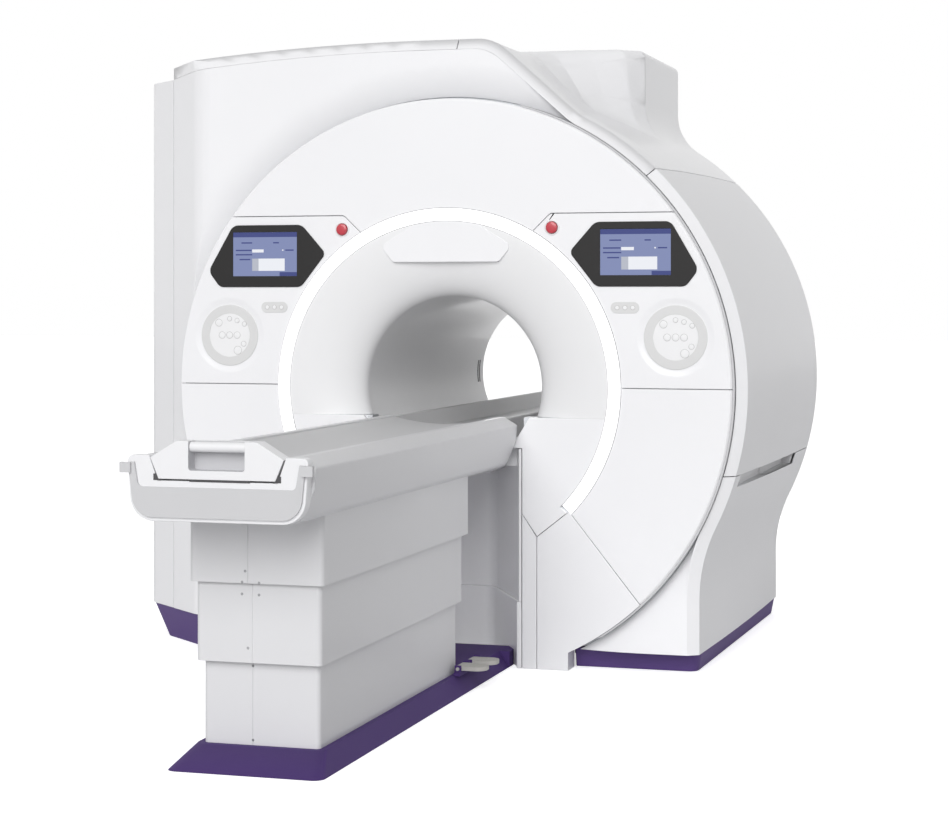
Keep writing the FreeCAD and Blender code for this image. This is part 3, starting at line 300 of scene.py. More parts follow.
def pick(piece, test):
    """in edit mode, selects the faces whose middle and normal pass the test"""
    bpy.ops.mesh.select_mode(type="FACE")
    mesh = bmesh.from_edit_mesh(piece.data)
    count = 0
    for face in mesh.faces:
        chosen = test(face.calc_center_median(), face.normal)
        face.select_set(chosen)
        count += chosen
    if not count:
        raise RuntimeError("%s has no face that passes the test" % piece.name)
    mesh.select_flush_mode()
    bmesh.update_edit_mesh(piece.data)


def paint(piece, finish, test):
    """in edit mode, gives the faces that pass the test another finish"""
    pick(piece, test)
    slots, material = piece.data.materials, FINISHES[finish]
    if material.name not in slots:
        slots.append(material)
    piece.active_material_index = slots.find(material.name)
    bpy.ops.object.material_slot_assign()


def bisect(place, normal, clear=False):
    """in edit mode, cuts the mesh by a plane; with clear, the normal's side goes and the cut is closed"""
    bpy.ops.mesh.select_all(action="SELECT")
    bpy.ops.mesh.bisect(plane_co=place, plane_no=normal, use_fill=clear, clear_outer=clear)


def cut_off(piece, *planes):
    """takes off what lies beyond each plane of (place, normal)"""
    with editing(piece):
        for place, normal in planes:
            bisect(place, normal, clear=True)


def round_edges(piece, width, angle, segments):
    """a live bevel on the sharp edges, applied, with the flats kept flat to the eye"""
    work_on(piece)
    bevel = piece.modifiers.new("edges", "BEVEL")
    bevel.limit_method = "ANGLE"
    bevel.angle_limit = math.radians(angle)
    bevel.width = width
    bevel.segments = segments
    bevel.use_clamp_overlap = True
    bpy.ops.object.modifier_apply(modifier=bevel.name)
    smooth(piece, angle)


def smooth(piece, angle):
    """smooth shading up to an angle, with the large faces setting the normals"""
    work_on(piece)
    bpy.ops.object.shade_smooth_by_angle(angle=math.radians(angle))
    flats = piece.modifiers.new("flats", "WEIGHTED_NORMAL")
    flats.keep_sharp = True
    bpy.ops.object.modifier_apply(modifier=flats.name)


def belongs(piece, node, finish, stands_for=True):
    """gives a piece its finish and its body"""
    if finish:
        piece.data.materials.clear()
        piece.data.materials.append(FINISHES[finish])
    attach(piece, BODY_OF[node])
    if stands_for:
        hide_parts(node)
    return piece


def dress(node, finish, edge=0.0, shape=None, segments=2, angle=35, merge=FLAT):
    """rounded, smooth-shaded copy of a node's solid that stands for it; shape works on it in edit mode"""
    solid = NODES[node]
    piece = solid.copy()
    piece.data = solid.data.copy()
    piece.name = piece.data.name = node + ".moulding"
    for key in list(piece.keys()):
        del piece[key]
    piece.parent = None
    bpy.context.scene.collection.objects.link(piece)
    with editing(piece):
        bpy.ops.mesh.remove_doubles(threshold=WELD)
        bpy.ops.mesh.dissolve_limited(angle_limit=math.radians(merge))
        if shape:
            shape(piece)
    if edge:
        round_edges(piece, edge, angle, segments)
    else:
        smooth(piece, angle)
    return belongs(piece, node, finish)


def lathe(name, profile, centre, turns):
    """closed profile of (radius, offset along Y) turned round the Y axis through centre"""
    centre = Vector(centre)
    last_r, last_o = profile[0]
    bpy.ops.object.select_all(action="DESELECT")
    bpy.ops.mesh.primitive_circle_add(vertices=turns, radius=last_r, location=centre + Vector((0, last_o, 0)),
                                      rotation=(math.radians(90), 0, 0))
    piece = bpy.context.object
    piece.name = piece.data.name = name
    settle(piece)
    with editing(piece):
        for radius, offset in profile[1:] + profile[:1]:
            share = radius / last_r
            bpy.ops.mesh.extrude_edges_move(TRANSFORM_OT_translate={"value": (0, offset - last_o, 0)})
            bpy.ops.transform.resize(value=(share, 1, share), center_override=centre + Vector((0, offset, 0)))
            last_r, last_o = radius, offset
        bpy.ops.mesh.select_all(action="SELECT")
        bpy.ops.mesh.remove_doubles(threshold=WELD)
        bpy.ops.mesh.normals_make_consistent(inside=False)
    return piece


def turned(name, section, radius, centre, turns):
    """lathe of a section in millimetres outside a radius and behind the centre"""
    return lathe(name, [(radius + out * MM, back * MM) for out, back in section], centre, turns)


def copy_to(piece, name, shift):
    """another of the same piece, with its own mesh, moved by shift"""
    twin = piece.copy()
    twin.data = piece.data.copy()
    twin.name = twin.data.name = name
    bpy.context.scene.collection.objects.link(twin)
    twin.location = shift
    settle(twin)
    return twin


def settle(piece):
    """puts a piece's place, turn and size into its mesh"""
    work_on(piece)
    bpy.ops.object.transform_apply(location=True, rotation=True, scale=True)


def joined(pieces, name):
    """several pieces as one"""
    bpy.ops.object.select_all(action="DESELECT")
    for piece in pieces:
        piece.select_set(True)
    bpy.context.view_layer.objects.active = pieces[0]
    bpy.ops.object.join()
    pieces[0].name = pieces[0].data.name = name
    return pieces[0]


def face_of(node):
    """radius, depth and the middle of the front of a round or pill-shaped node"""
    low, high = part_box(node)
    return (high.x - low.x) / 2, high.y - low.y, Vector(((low.x + high.x) / 2, low.y, (low.z + high.z) / 2))


def plate(name, low, high, edge, segments=2):
    """moulded block between two corners, its edges rounded"""
    middle = (Vector(low) + Vector(high)) / 2
    bpy.ops.object.select_all(action="DESELECT")
    bpy.ops.mesh.primitive_cube_add(size=1, location=middle)
    piece = bpy.context.object
    piece.name = piece.data.name = name
    piece.scale = Vector(high) - Vector(low)
    settle(piece)
    with editing(piece):
        bpy.ops.mesh.bevel(offset=edge, segments=segments, affect="EDGES")
    smooth(piece, 40)
    return piece


# ---- enclosure --------------------------
FRONT_COVERS = ["upper_front_cover"] + [
    kind + side for kind in ("control_panel_", "lower_front_cover_", "apron_", "pedestal_") for side in SIDES]
TOP_ANGLE = 58                  # degrees, so that the flares' own facets stay soft
JOINT_REACH = 15 * MM           # the surround's walls lie this far outside the round front
JOINT_CLOSE = 2.6 * MM

# The rear stretch of the pull recess under the side seam.
RECESS_AT = (740 * MM, 1380 * MM)   # start and end behind the front
RECESS_IN = 64 * MM                 # depth from the widest place
RECESS_H = 45.3 * MM
RECESS_WALL = 10 * MM
RECESS_SKIN = 22 * MM               # its floor ends this far inside the widest place
SKIN_WAY = (0.948, -0.017, -0.316)  # the way the skin faces there

# The seal beside the round front: its section as turned() takes it, and the x and z where it ends, metres.
SEAL = ((0.4, 9), (2.4, 7), (6.6, 7), (8.6, 9), (8.6, 16), (0.4, 16))
SEAL_FROM = (0.3, 0.13)


class SCANNER_OT_covers(bpy.types.Operator):
    """Rounds and lacquers the covers of the magnet"""
    bl_idname = "scanner.covers"
    bl_label = "Magnet covers"

    def execute(self, context):
        edge = context.scene.scanner_trim.edge
        for node in FRONT_COVERS:
            # The shallow dish round a key pad needs all its facets for an even slope.
            dress(node, "cover", edge * 0.7, merge=FLAT_FINE if node.startswith("control_panel") else FLAT)
        dress("rear_cover", "cover", edge)
        for node in ("top_cover_left", "top_cover_turret"):
            dress(node, "cover", edge, angle=TOP_ANGLE, merge=FLAT_FINE)
        dress("front_surround", "cover", edge * 0.5, shape=self.close_joint)
        dress("side_cover_left", "cover", edge * 3, segments=4)
        dress("dock_niche", "cover", edge * 1.2, angle=50)
        dress("dock_cover", "cover", edge * 2, angle=50)
        dress("side_cover_upper", "side", edge, merge=FLAT_FINE)
        dress("side_cover_lower", "side", edge, shape=self.recess)
        self.pocket()
        self.gasket(context.scene.scanner_trim)
        return {"FINISHED"}

    def close_joint(self, piece):
        """moves the surround's outer walls against the bevelled band, so that no dark joint shows"""
        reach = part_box("upper_front_cover")[1].z - AXIS_Z + JOINT_REACH

        def outer(c, n):
            away = Vector((c.x, 0, c.z - AXIS_Z))
            return abs(n.y) < 0.1 and n.x > -0.9 and n.z > -0.5 and away.length > reach and away.dot(n) > 0

        pick(piece, outer)
        bpy.ops.transform.shrink_fatten(value=JOINT_CLOSE)

    def recess(self, piece):
        """draws the pull recess out to its full length along the seam"""
        low, high = self.pocket_box()
        bpy.ops.mesh.quads_convert_to_tris()
        bpy.ops.object.mode_set(mode="OBJECT")
        cutter = plate("cutter", low, (high.x + RECESS_IN, high.y, high.z + RECESS_WALL), 1 * MM, 1)
        work_on(piece)
        cut = piece.modifiers.new("recess", "BOOLEAN")
        cut.operation = "DIFFERENCE"
        cut.solver = "EXACT"
        cut.object = cutter
        bpy.ops.object.modifier_apply(modifier=cut.name)
        bpy.data.objects.remove(cutter)
        bpy.ops.object.mode_set(mode="EDIT")

    def pocket_box(self):
        """corners of the rear stretch of the pull recess"""
        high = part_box("side_cover_lower")[1]
        return (Vector((high.x - RECESS_IN, FRONT_Y + RECESS_AT[0], high.z - RECESS_H)),
                Vector((high.x, FRONT_Y + RECESS_AT[1], high.z)))

    def pocket(self):
        """walls behind the rear stretch of the pull recess, cut off inside the skin's thickness"""
        (back, y0, floor), (out, y1, top) = self.pocket_box()
        wall = RECESS_WALL
        walls = [plate("pocket_back", (back - wall, y0, floor - wall), (back, y1 + wall, top), 1 * MM),
                 plate("pocket_floor", (back - wall, y0, floor - wall), (out, y1 + wall, floor), 1 * MM),
                 plate("pocket_end", (back - wall, y1, floor - wall), (out, y1 + wall, top), 1 * MM)]
        for piece in walls:
            cut_off(piece, ((out - RECESS_SKIN, y1, floor), SKIN_WAY))
        belongs(joined(walls, "side_cover_lower.pocket"), "side_cover_lower", "side", stands_for=False)

    def gasket(self, trim):
        """pale seal in the groove between the round front and the band on the right"""
        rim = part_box("upper_front_cover")[1].z - AXIS_Z
        seal = turned("front_seal", SEAL, rim, FRONT, trim.turns)
        cut_off(seal, ((SEAL_FROM[0], 0, 0), (-1, 0, 0)), ((0, 0, SEAL_FROM[1]), (0, 0, -1)))
        smooth(seal, 40)
        belongs(seal, "upper_front_cover", "seal", stands_for=False)


class SCANNER_OT_base(bpy.types.Operator):
    """Finishes the purple plinths, the table's skirt and the pedals' bracket"""
    bl_idname = "scanner.base"
    bl_label = "Purple base"

    def execute(self, context):
        edge = context.scene.scanner_trim.edge
        for node in ("table_base", "pedal_bracket"):
            dress(node, "base", edge)
        for node in ("plinth_right", "plinth_left"):
            dress(node, "plinth", edge)
        return {"FINISHED"}


# ---- bore -------------------------------
FRONT_WALL, FRONT_LIP, FRONT_STEP = 12 * MM, 25 * MM, 2 * MM
REAR_WALL = 10 * MM
# Sections of a ring seal, outside the ring's edge, and of an air slot, outside the tube's radius.
RING_SEAL = ((0.2, 0.3), (1.8, 0.3), (1.8, 6), (0.2, 6))
AIR_SLOT = ((-0.6, 0), (1.5, 0), (1.5, 12), (-0.6, 12))
SLOT_BACK, SLOT_PITCH = 55 * MM, 26 * MM
SLOT_LOW, SLOT_HIGH = -45 * MM, 55 * MM     # ends of a slot, from the axis's height
SLOT_TURNS = 240


def flare(rim, throat, mouth_y, throat_y, steps):
    """quarter ellipse from the throat to the mouth"""
    points = []
    for i in range(steps + 1):
        turn = math.pi / 2 * i / steps
        points.append((rim - (rim - throat) * math.cos(turn), throat_y + (mouth_y - throat_y) * math.sin(turn)))
    return points


class SCANNER_OT_bore(bpy.types.Operator):
    """Turns the smooth funnels, the lit ring and the hood, and finishes the tube"""
    bl_idname = "scanner.bore"
    bl_label = "Bore and lit ring"

    def execute(self, context):
        trim = context.scene.scanner_trim
        self.front_funnel(trim)
        self.rear_funnel(trim)
        dress("light_ring", "ring", 1.2 * MM)
        self.ring_seals(trim)
        self.slots()
        dress("bore_liner", "liner", angle=30)
        dress("visor", "cover", 7 * MM, segments=4, angle=30)
        dress("bore_bridge", "cradle", 1.5 * MM)
        return {"FINISHED"}

    def front_funnel(self, trim):
        """flared mouth of the bore, cut off level where the dock begins"""
        low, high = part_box("front_funnel")
        rim = (high.x - low.x) / 2
        mouth, throat = low.y, high.y
        lip = mouth + FRONT_LIP
        back = flare(rim - FRONT_STEP, BORE_R + FRONT_WALL, lip, throat, 10)
        line = flare(rim, BORE_R, mouth, throat, 28) + [(rim, lip)] + back[::-1]
        piece = lathe("front_funnel.turned", [(r, y - mouth) for r, y in line], (0, mouth, AXIS_Z), trim.turns)
        cut_off(piece, ((0, 0, low.z), (0, 0, -1)))
        smooth(piece, 30)
        belongs(piece, "front_funnel", "liner")

    def ring_seals(self, trim):
        """thin seals on both sides of the lit ring"""
        low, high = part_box("light_ring")
        seals = []
        for count, edge in enumerate((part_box("front_funnel")[1].x, (high.x - low.x) / 2)):
            seal = turned("ring_seal_%d" % count, RING_SEAL, edge, FRONT, trim.turns)
            cut_off(seal, ((0, 0, low.z), (0, 0, -1)))
            seals.append(seal)
        piece = joined(seals, "light_ring.seals")
        smooth(piece, 40)
        belongs(piece, "light_ring", "ring_seal", stands_for=False)

    def slots(self):
        """two air slots on the left of the tube near its rear end, one modelled and the other copied"""
        ring = turned("bore_slot", AIR_SLOT, BORE_R, (0, LINER_HIGH.y - SLOT_BACK, AXIS_Z), SLOT_TURNS)
        cut_off(ring, ((0, 0, 0), (1, 0, 0)), ((0, 0, AXIS_Z + SLOT_LOW), (0, 0, -1)),
                ((0, 0, AXIS_Z + SLOT_HIGH), (0, 0, 1)))
        piece = joined([ring, copy_to(ring, "bore_slot_2", (0, -SLOT_PITCH, 0))], "bore_liner.slots")
        smooth(piece, 40)
        belongs(piece, "bore_liner", "dark_rubber", stands_for=False)

    def rear_funnel(self, trim):
        """flared rear mouth of the bore"""
        low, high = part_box("rear_funnel")
        rim = (high.x - low.x) / 2
        throat, mouth = low.y, high.y
        line = flare(rim - REAR_WALL, BORE_R, mouth, throat, 16)
        line += flare(rim, BORE_R + REAR_WALL, mouth, throat, 10)[::-1]
        piece = lathe("rear_funnel.turned", [(r, y - throat) for r, y in line], (0, throat, AXIS_Z), trim.turns)
        smooth(piece, 30)
        belongs(piece, "rear_funnel", "liner")


# ---- controls ---------------------------
# Fields of the display, as shares of its width and height from its lower left corner.
FIELDS = (
    (0.00, 1.00, 0.89, 1.00, "screen_dark"), (0.73, 1.00, 0.00, 0.09, "screen_dark"),
    (0.13, 0.30, 0.745, 0.775, "screen_dark"), (0.63, 0.72, 0.745, 0.775, "screen_dark"),
    (0.04, 0.29, 0.575, 0.605, "screen_dark"), (0.82, 0.95, 0.575, 0.605, "screen_dark"),
    (0.04, 0.30, 0.475, 0.505, "screen_dark"), (0.10, 0.27, 0.365, 0.395, "screen_dark"),
    (0.30, 0.48, 0.54, 0.61, "screen_white"), (0.77, 0.79, 0.575, 0.605, "screen_white"),
    (0.30, 0.40, 0.12, 0.40, "screen_grey"), (0.40, 0.81, 0.12, 0.40, "screen_white"),
)
# Keys of a round pad: place from its middle and radius, millimetres.
KEYS = ((-46, 49, 15), (0, 65, 10), (32, 58, 10), (63, 44, 10), (-32, 0, 14), (0, 0, 14), (32, 0, 14),
        (35, -60, 17), (60, -34, 11))
PILL_KEYS = ((-30, 0, 9), (0, 0, 9), (30, 0, 9))
KEY_UP, PILL_KEY_UP = 1.6 * MM, 1.2 * MM
KEY_ROOT = 0.2 * MM             # a key's dome and outline reach this far into its pad
LINE_W = 1.4 * MM               # width of the outline printed round a key
PAD_RING = 0.71                 # inner radius of the grey ring, as a share of the pad's
FIELD_SET = 0.6 * MM            # the white field lies this far behind the ring's front


class SCANNER_OT_displays(bpy.types.Operator):
    """Builds the two displays in their black frames"""
    bl_idname = "scanner.displays"
    bl_label = "Displays"

    def execute(self, context):
        for side in SIDES:
            dress("bezel_" + side, "bezel", 1.6 * MM, segments=3)
            self.pane("screen_" + side)
        return {"FINISHED"}

    def pane(self, node):
        """glass of a display, its fields cut out of the front and coloured one by one"""
        low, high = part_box(node)
        size = high - low
        piece = plate(node + ".pane", low, high, 0.3 * MM, 1)
        piece.data.materials.append(FINISHES["screen"])
        with editing(piece):
            for way, first in (((1, 0, 0), 0), ((0, 0, 1), 2)):
                cuts = {field[i] for field in FIELDS for i in (first, first + 1)}
                for share in sorted(cuts - {0.0, 1.0}):
                    bisect(low + Vector((size.x * share, 0, size.z * share)), way)
            for left, right, bottom, top, finish in FIELDS:
                x0, x1 = low.x + size.x * left, low.x + size.x * right
                z0, z1 = low.z + size.z * bottom, low.z + size.z * top
                paint(piece, finish, lambda c, n: n.y < -0.5 and x0 < c.x < x1 and z0 < c.z < z1)
        belongs(piece, node, None)


class SCANNER_OT_keys(bpy.types.Operator):
    """Builds the round key pads, the pill-shaped pads and their raised keys"""
    bl_idname = "scanner.keys"
    bl_label = "Key pads"

    def execute(self, context):
        for side in SIDES:
            self.round_pad(side, context.scene.scanner_trim)
            self.pill_pad(side)
        return {"FINISHED"}

    def key(self, name, centre, radius, stands):
        """a domed key inside a printed outline"""
        r = radius * MM
        foot = r - LINE_W
        dome = lathe(name, [(POLE, -stands), (r * 0.5, -stands), (r * 0.8, -stands * 0.8), (foot, -stands * 0.3),
                            (foot, KEY_ROOT), (POLE, KEY_ROOT)], centre, turns=32)
        line = lathe(name + "_line", [(foot, -stands * 0.45), (r - LINE_W / 2, -stands * 0.6), (r, -stands * 0.45),
                                      (r, KEY_ROOT), (foot, KEY_ROOT)], centre, turns=32)
        for piece, finish in ((dome, "pad_white"), (line, "outline")):
            piece.data.materials.append(FINISHES[finish])
            smooth(piece, 30)
        return joined([dome, line], name)

    def keys(self, node, name, places, centre, stands):
        """all keys of a pad as one piece"""
        keys = [self.key("%s_%d" % (name, count), centre + Vector((x * MM, 0, z * MM)), radius, stands)
                for count, (x, z, radius) in enumerate(places)]
        belongs(joined(keys, node + ".keys"), node, None, stands_for=False)

    def round_pad(self, side, trim):
        """grey ring round a white field with its keys"""
        node = "key_pad_" + side
        r, deep, centre = face_of(node)
        inner = r * PAD_RING
        ring = lathe(node + ".ring", [(inner, FIELD_SET), (inner + 1 * MM, 0.2 * MM), (inner + 3 * MM, 0),
                                      (r - 3 * MM, 0), (r - 0.8 * MM, 0.5 * MM), (r, 1.4 * MM), (r, deep),
                                      (inner, deep)], centre, turns=trim.turns // 2)
        smooth(ring, 30)
        belongs(ring, node, "pad")
        field = lathe(node + ".field", [(POLE, FIELD_SET), (inner - 1 * MM, FIELD_SET), (inner, 2 * FIELD_SET),
                                        (inner, deep), (POLE, deep)], centre, turns=trim.turns // 2)
        smooth(field, 30)
        belongs(field, node, "pad_white", stands_for=False)
        self.keys(node, "key_" + side, KEYS, centre + Vector((0, FIELD_SET, 0)), KEY_UP)

    def pill_pad(self, side):
        """pill-shaped pad with its three keys"""
        node = "pill_pad_" + side
        dress(node, "pad", 0.6 * MM)
        self.keys(node, "pill_" + side, PILL_KEYS, face_of(node)[2], PILL_KEY_UP)


# Section of a stop button's collar, outside the button.
COLLAR = ((1.5, -1), (3, -3), (6, -3), (8, -1), (8, 0.5), (1.5, 0.5))


class SCANNER_OT_stop_buttons(bpy.types.Operator):
    """Turns the rounded red stop buttons and their collars"""
    bl_idname = "scanner.stop_buttons"
    bl_label = "Stop buttons"

    def execute(self, context):
        for side in SIDES:
            node = "stop_button_" + side
            r, deep, centre = face_of(node)
            cap = lathe(node + ".cap", [(POLE, 0), (r * 0.55, 0.2 * MM), (r * 0.82, 1.0 * MM), (r * 0.95, 2.6 * MM),
                                        (r, 5 * MM), (r, deep), (POLE, deep)], centre, turns=64)
            smooth(cap, 30)
            belongs(cap, node, "button")
            collar = turned(node + ".collar", COLLAR, r, (centre.x, FRONT_Y, centre.z), 64)
            smooth(collar, 30)
            belongs(collar, "control_panel_" + side, "pad_white", stands_for=False)
        return {"FINISHED"}


# ---- table ------------------------------
# Middle seam and screws of each cover's foot end: x of the seam, then x and z of the screws, metres.
COVER_TRIM = {
    "table_cover_upper": (-0.0246, ((-0.034, 0.591), (-0.044, 0.5576), (0.011, 0.5567))),
    "table_cover_middle": (-0.018, ((-0.052, 0.519), (0.003, 0.518), (-0.0325, 0.357))),
    "table_cover_lower": (-0.027, ((-0.027, 0.299), (-0.027, 0.0753))),
}
GROOVE_DEEP = 2.2 * MM
# Section of a screw's head: share of its radius and millimetres behind the cover's face.
SCREW = ((0.45, 0.4), (0.45, -0.5), (0.85, -0.5), (1, -0.1), (1, 1.0))


class SCANNER_OT_table_covers(bpy.types.Operator):
    """Finishes the telescoping covers, with the seam and screws of their foot end"""
    bl_idname = "scanner.table_covers"
    bl_label = "Table covers"

    def execute(self, context):
        trim = context.scene.scanner_trim
        for node, (seam, screws) in COVER_TRIM.items():
            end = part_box(node)[0].y

            def groove(piece, seam=seam, end=end):
                half = trim.groove / 2
                for x in (seam - half, seam + half):
                    bisect((x, 0, 0), (1, 0, 0))
                pick(piece, lambda c, n: n.y < -0.9 and abs(c.x - seam) < half and abs(c.y - end) < MM)
                bpy.ops.mesh.extrude_region_move(TRANSFORM_OT_translate={"value": (0, GROOVE_DEEP, 0)})

            dress(node, "table", trim.table_edge * 0.5, shape=groove)
            self.screws(node, end, screws, trim.screw)
        return {"FINISHED"}

    def screws(self, node, end, places, radius):
        """countersunk heads, one modelled and the rest copied"""
        first = Vector((places[0][0], end, places[0][1]))
        profile = [(radius * share, back * MM) for share, back in SCREW]
        profile = [(POLE, profile[0][1])] + profile + [(POLE, profile[-1][1])]
        heads = [lathe(node + "_screw", profile, first, turns=24)]
        for count, (x, z) in enumerate(places[1:]):
            heads.append(copy_to(heads[0], "%s_screw_%d" % (node, count), (x - first.x, 0, z - first.z)))
        piece = joined(heads, node + ".screws")
        smooth(piece, 30)
        belongs(piece, node, "screw", stands_for=False)


# Dark blocks on the foot end: left, right, lower and upper limits, metres. The first is a thin dark strip that is
# painted shadow in the gap under the cradle's foot end; the other two are rubber corner stops.
STOPS_AND_SHADOW_STRIP = ((-0.085, 0.102, 0.8815, 0.8875), (-0.198, -0.174, 0.884, 0.903), (0.174, 0.198, 0.884, 0.903))
STOP_OUT = 1.5 * MM
HEAD_LEN = 60.5 * MM            # the cradle's white foot end
RECESS_BACK = 10 * MM           # wall behind the recess of its grip


class SCANNER_OT_table_top(bpy.types.Operator):
    """Finishes the table's body, its foot end, bumper, cradle and grip"""
    bl_idname = "scanner.table_top"
    bl_label = "Table top"

    def execute(self, context):
        edge = context.scene.scanner_trim.table_edge
        dress("table_body", "table", edge * 0.7)
        dress("table_end_frame", "cover", edge * 0.8)
        dress("table_end_bumper", "bumper", edge * 0.6)
        self.board()
        dress("cradle_grip", "cover", 3 * MM, segments=3)
        self.stops()
        return {"FINISHED"}

    def board(self):
        """the cradle, with its foot end in white and the recess of its grip in grey as painted shade"""
        board = dress("cradle", "cradle", 1.6 * MM)
        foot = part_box("cradle")[0].y
        low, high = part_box("cradle_grip")

        def head(c, n):
            return c.y < foot + HEAD_LEN

        def recess(c, n):
            return (foot + MM < c.y < foot + HEAD_LEN - RECESS_BACK and low.x - MM < c.x < high.x + MM
                    and c.z < high.z)

        with editing(board):
            paint(board, "cover", head)
            # The recess's grey is painted shade, not a colour of its own.
            paint(board, "recess", recess)

    def stops(self):
        """dark strip that is painted shadow in the gap under the cradle's foot end, and the rubber corner stops"""
        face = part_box("table_end_frame")[0].y
        # The first block is painted shadow: a dark strip where the gap under the cradle's head lies in shade.
        blocks = [plate("stop_%d" % count, (x0, face - STOP_OUT, z0), (x1, face + STOP_OUT, z1), 0.6 * MM)
                  for count, (x0, x1, z0, z1) in enumerate(STOPS_AND_SHADOW_STRIP)]
        belongs(joined(blocks, "table_end_frame.stops"), "table_end_frame", "dark_rubber", stands_for=False)


# Ribs across a pedal: millimetres from its tip and half their length.
RIBS = ((20, 24), (34, 32), (48, 32), (62, 32))
RIB_HALF = 3 * MM                           # half a rib's width
RIB_FOOT, RIB_TOP = 90.5 * MM, 92.6 * MM    # heights above the floor


class SCANNER_OT_pedals(bpy.types.Operator):
    """Rounds the foot pedals and lays ribs across their soles"""
    bl_idname = "scanner.pedals"
    bl_label = "Foot pedals"

    def execute(self, context):
        for node in ("pedal_1", "pedal_2"):
            dress(node, "pedal", 2.5 * MM, segments=3)
            low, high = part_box(node)
            middle = (low.y + high.y) / 2
            ribs = []
            for away, half in RIBS:
                x = high.x - away * MM
                ribs.append(plate("rib", (x - RIB_HALF, middle - half * MM, RIB_FOOT),
                                  (x + RIB_HALF, middle + half * MM, RIB_TOP), 0.9 * MM))
            belongs(joined(ribs, node + ".ribs"), node, "pedal", stands_for=False)
        return {"FINISHED"}


# ---- structure behind the covers --------
STRUCTURE = {
    "vessel_steel": ("cryostat", "vent_pipe", "cold_head"),
    "foot_steel": ("foot_left", "foot_right"),
    "frame_aluminium": ("front_frame", "rear_frame"),
    "coil_resin": ("gradient_coil", "body_coil"),
    "column_aluminium": ("column_outer", "column_middle", "column_inner"),
}


class SCANNER_OT_structure(bpy.types.Operator):
    """Gives the vessel, coils, frames, feet and columns their own metals and resin"""
    bl_idname = "scanner.structure"
    bl_label = "Structure"

    def execute(self, context):
        for finish, nodes in STRUCTURE.items():
            for solid in (NODES[node] for node in nodes):
                if not solid.material_slots:
                    solid.data.materials.append(FINISHES[finish])
                for spot in solid.material_slots:
                    spot.material = FINISHES[finish]
        return {"FINISHED"}


# ---- studio -----------------------------
FLOOR_SIZE = 120.0
FLOOR_DROP = 0.5 * MM
FLOOR_LIFT = 0.6                # glow that the camera alone sees, so that the floor ends in white
SUN_SPREAD = 45                 # degrees
PANEL_SIZE = 2.0
# Kind of each lamp, the setting that holds its strength, its place and the way it points.
LAMPS = {
    "key_light": ("SUN", "key", (0, -6, 4), (-0.06, 0.85, -0.45)),
    "fill_light": ("AREA", "fill", (5.2, 2.3, 1.7), (-1, -0.5, -0.15)),
    "back_light": ("AREA", "back", (-0.6, 5.0, 1.0), (0.12, -1, 0)),
}
# The photo's camera, solved from its vanishing points.
EYE = (2.4758, -8.7937, 1.4147)
EYE_TURN = 16.635
LENS_MM, SENSOR_MM, LENS_SHIFT = 81.85, 36.0, -0.1297


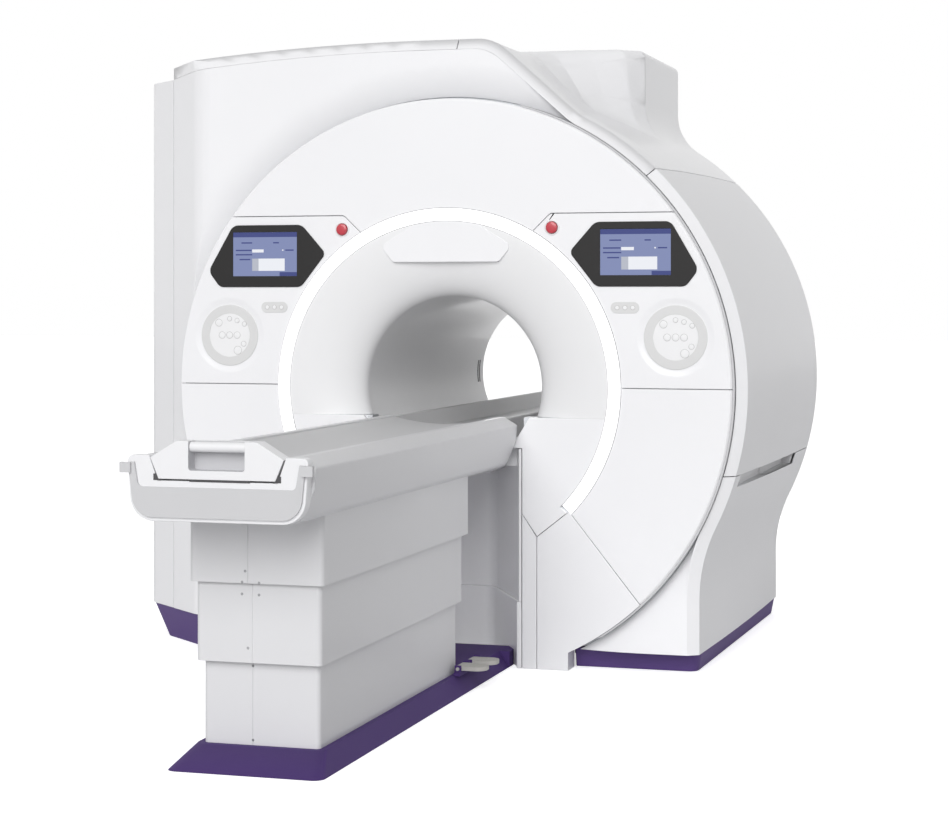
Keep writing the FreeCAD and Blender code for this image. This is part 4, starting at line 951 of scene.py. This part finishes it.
class SCANNER_OT_studio(bpy.types.Operator):
    """Lays the pale floor, hangs the soft lights and sets the camera"""
    bl_idname = "scanner.studio"
    bl_label = "Studio"

    def execute(self, context):
        scene = context.scene
        settings = scene.scanner_studio
        scene.view_settings.view_transform = "Standard"
        self.floor(settings)
        self.surroundings(scene, settings)
        self.lamps(scene, settings)
        self.camera(scene)
        return {"FINISHED"}

    def floor(self, settings):
        """pale matt floor that keeps the shadow"""
        bpy.ops.object.select_all(action="DESELECT")
        bpy.ops.mesh.primitive_grid_add(x_subdivisions=8, y_subdivisions=8, size=FLOOR_SIZE,
                                        location=(0, 0, -FLOOR_DROP))
        floor = bpy.context.object
        floor.name = floor.data.name = "studio_floor"
        material, tree, place = new_material("painted_studio_floor")
        speckle = add(tree, "ShaderNodeTexNoise", inputs={"Vector": place, "Scale": 40.0, "Detail": 2.0})
        gloss = add(tree, "ShaderNodeMapRange", inputs={
            "Value": speckle.outputs["Fac"], "To Min": 0.75, "To Max": 0.85})
        paint = add(tree, "ShaderNodeBsdfPrincipled", inputs={
            "Base Color": linear(settings.paper), "Roughness": gloss.outputs["Result"],
            "Specular IOR Level": 0.2})
        seen = add(tree, "ShaderNodeLightPath")
        lift = add(tree, "ShaderNodeMath", {"operation": "MULTIPLY"}, {
            0: seen.outputs["Is Camera Ray"], 1: FLOOR_LIFT})
        glow = add(tree, "ShaderNodeEmission", inputs={"Strength": lift.outputs["Value"]})
        both = add(tree, "ShaderNodeAddShader", inputs={0: paint.outputs["BSDF"], 1: glow.outputs["Emission"]})
        add(tree, "ShaderNodeOutputMaterial", inputs={"Surface": both.outputs["Shader"]})
        floor.data.materials.append(material)

    def surroundings(self, scene, settings):
        """white for the camera, reflections and transmission, a dimmer white for the light"""
        world = bpy.data.worlds.new("studio_surroundings")
        scene.world = world
        world.use_nodes = True
        tree = world.node_tree
        tree.nodes.clear()
        seen = add(tree, "ShaderNodeLightPath")
        glossy = add(tree, "ShaderNodeMath", {"operation": "MAXIMUM"}, {
            0: seen.outputs["Is Camera Ray"], 1: seen.outputs["Is Glossy Ray"]})
        direct = add(tree, "ShaderNodeMath", {"operation": "MAXIMUM"}, {
            0: glossy.outputs["Value"], 1: seen.outputs["Is Transmission Ray"]})
        level = add(tree, "ShaderNodeMapRange", inputs={
            "Value": direct.outputs["Value"], "To Min": settings.ambient, "To Max": 1.0})
        sky = add(tree, "ShaderNodeBackground", inputs={
            "Color": (1.0, 1.0, 1.0, 1.0), "Strength": level.outputs["Result"]})
        add(tree, "ShaderNodeOutputWorld", inputs={"Surface": sky.outputs["Background"]})

    def lamps(self, scene, settings):
        """a broad main light from the front, and large soft panels beside the barrel and behind it"""
        for name, (kind, setting, place, aim) in LAMPS.items():
            lamp = bpy.data.lights.new(name, kind)
            lamp.energy = getattr(settings, setting)
            if kind == "SUN":
                lamp.angle = math.radians(SUN_SPREAD)
            else:
                lamp.size = PANEL_SIZE
            light = bpy.data.objects.new(name, lamp)
            light.location = place
            light.rotation_euler = Vector(aim).to_track_quat("-Z", "Y").to_euler()
            light.visible_camera = False
            scene.collection.objects.link(light)

    def camera(self, scene):
        """level camera with its picture shifted down, as in the photo"""
        lens = bpy.data.cameras.new("studio_camera")
        lens.sensor_fit = "HORIZONTAL"
        lens.sensor_width = SENSOR_MM
        lens.lens = LENS_MM
        lens.shift_y = LENS_SHIFT
        camera = bpy.data.objects.new("studio_camera", lens)
        camera.location = EYE
        camera.rotation_euler = (math.radians(90), 0, math.radians(EYE_TURN))
        scene.collection.objects.link(camera)
        scene.camera = camera


class SCANNER_OT_finishes(bpy.types.Operator):
    """Mixes every finish from the colours in the panel"""
    bl_idname = "scanner.finishes"
    bl_label = "Finishes"

    def execute(self, context):
        make_finishes(context.scene.scanner_finish)
        return {"FINISHED"}


# ---- add-on -----------------------------
STEPS = (SCANNER_OT_finishes, SCANNER_OT_studio, SCANNER_OT_structure, SCANNER_OT_covers, SCANNER_OT_base,
         SCANNER_OT_bore, SCANNER_OT_displays, SCANNER_OT_keys, SCANNER_OT_stop_buttons,
         SCANNER_OT_table_covers, SCANNER_OT_table_top, SCANNER_OT_pedals)


class SCANNER_PT_panel(bpy.types.Panel):
    """Sidebar panel with the scanner's steps and settings"""
    bl_idname = "SCANNER_PT_panel"
    bl_label = "Scanner"
    bl_space_type = "VIEW_3D"
    bl_region_type = "UI"
    bl_category = "Scanner"

    def draw(self, context):
        for group in (context.scene.scanner_finish, context.scene.scanner_trim, context.scene.scanner_studio):
            box = self.layout.box()
            for name in group.bl_rna.properties.keys():
                if name not in ("rna_type", "name"):
                    box.prop(group, name)
        for step in STEPS:
            self.layout.operator(step.bl_idname)


CLASSES = (ScannerFinish, ScannerTrim, ScannerStudio) + STEPS + (SCANNER_PT_panel,)


def register():
    """makes the classes and their settings known to Blender"""
    for kind in CLASSES:
        bpy.utils.register_class(kind)
    bpy.types.Scene.scanner_finish = PointerProperty(type=ScannerFinish)
    bpy.types.Scene.scanner_trim = PointerProperty(type=ScannerTrim)
    bpy.types.Scene.scanner_studio = PointerProperty(type=ScannerStudio)


def unregister():
    """takes the settings and classes away again"""
    del bpy.types.Scene.scanner_studio
    del bpy.types.Scene.scanner_trim
    del bpy.types.Scene.scanner_finish
    for kind in reversed(CLASSES):
        bpy.utils.unregister_class(kind)


def main():
    """registers the add-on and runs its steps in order"""
    register()
    for step in STEPS:
        group, name = step.bl_idname.split(".")
        getattr(getattr(bpy.ops, group), name)()
    bpy.ops.object.select_all(action="DESELECT")


if __name__ == "__main__":
    main()
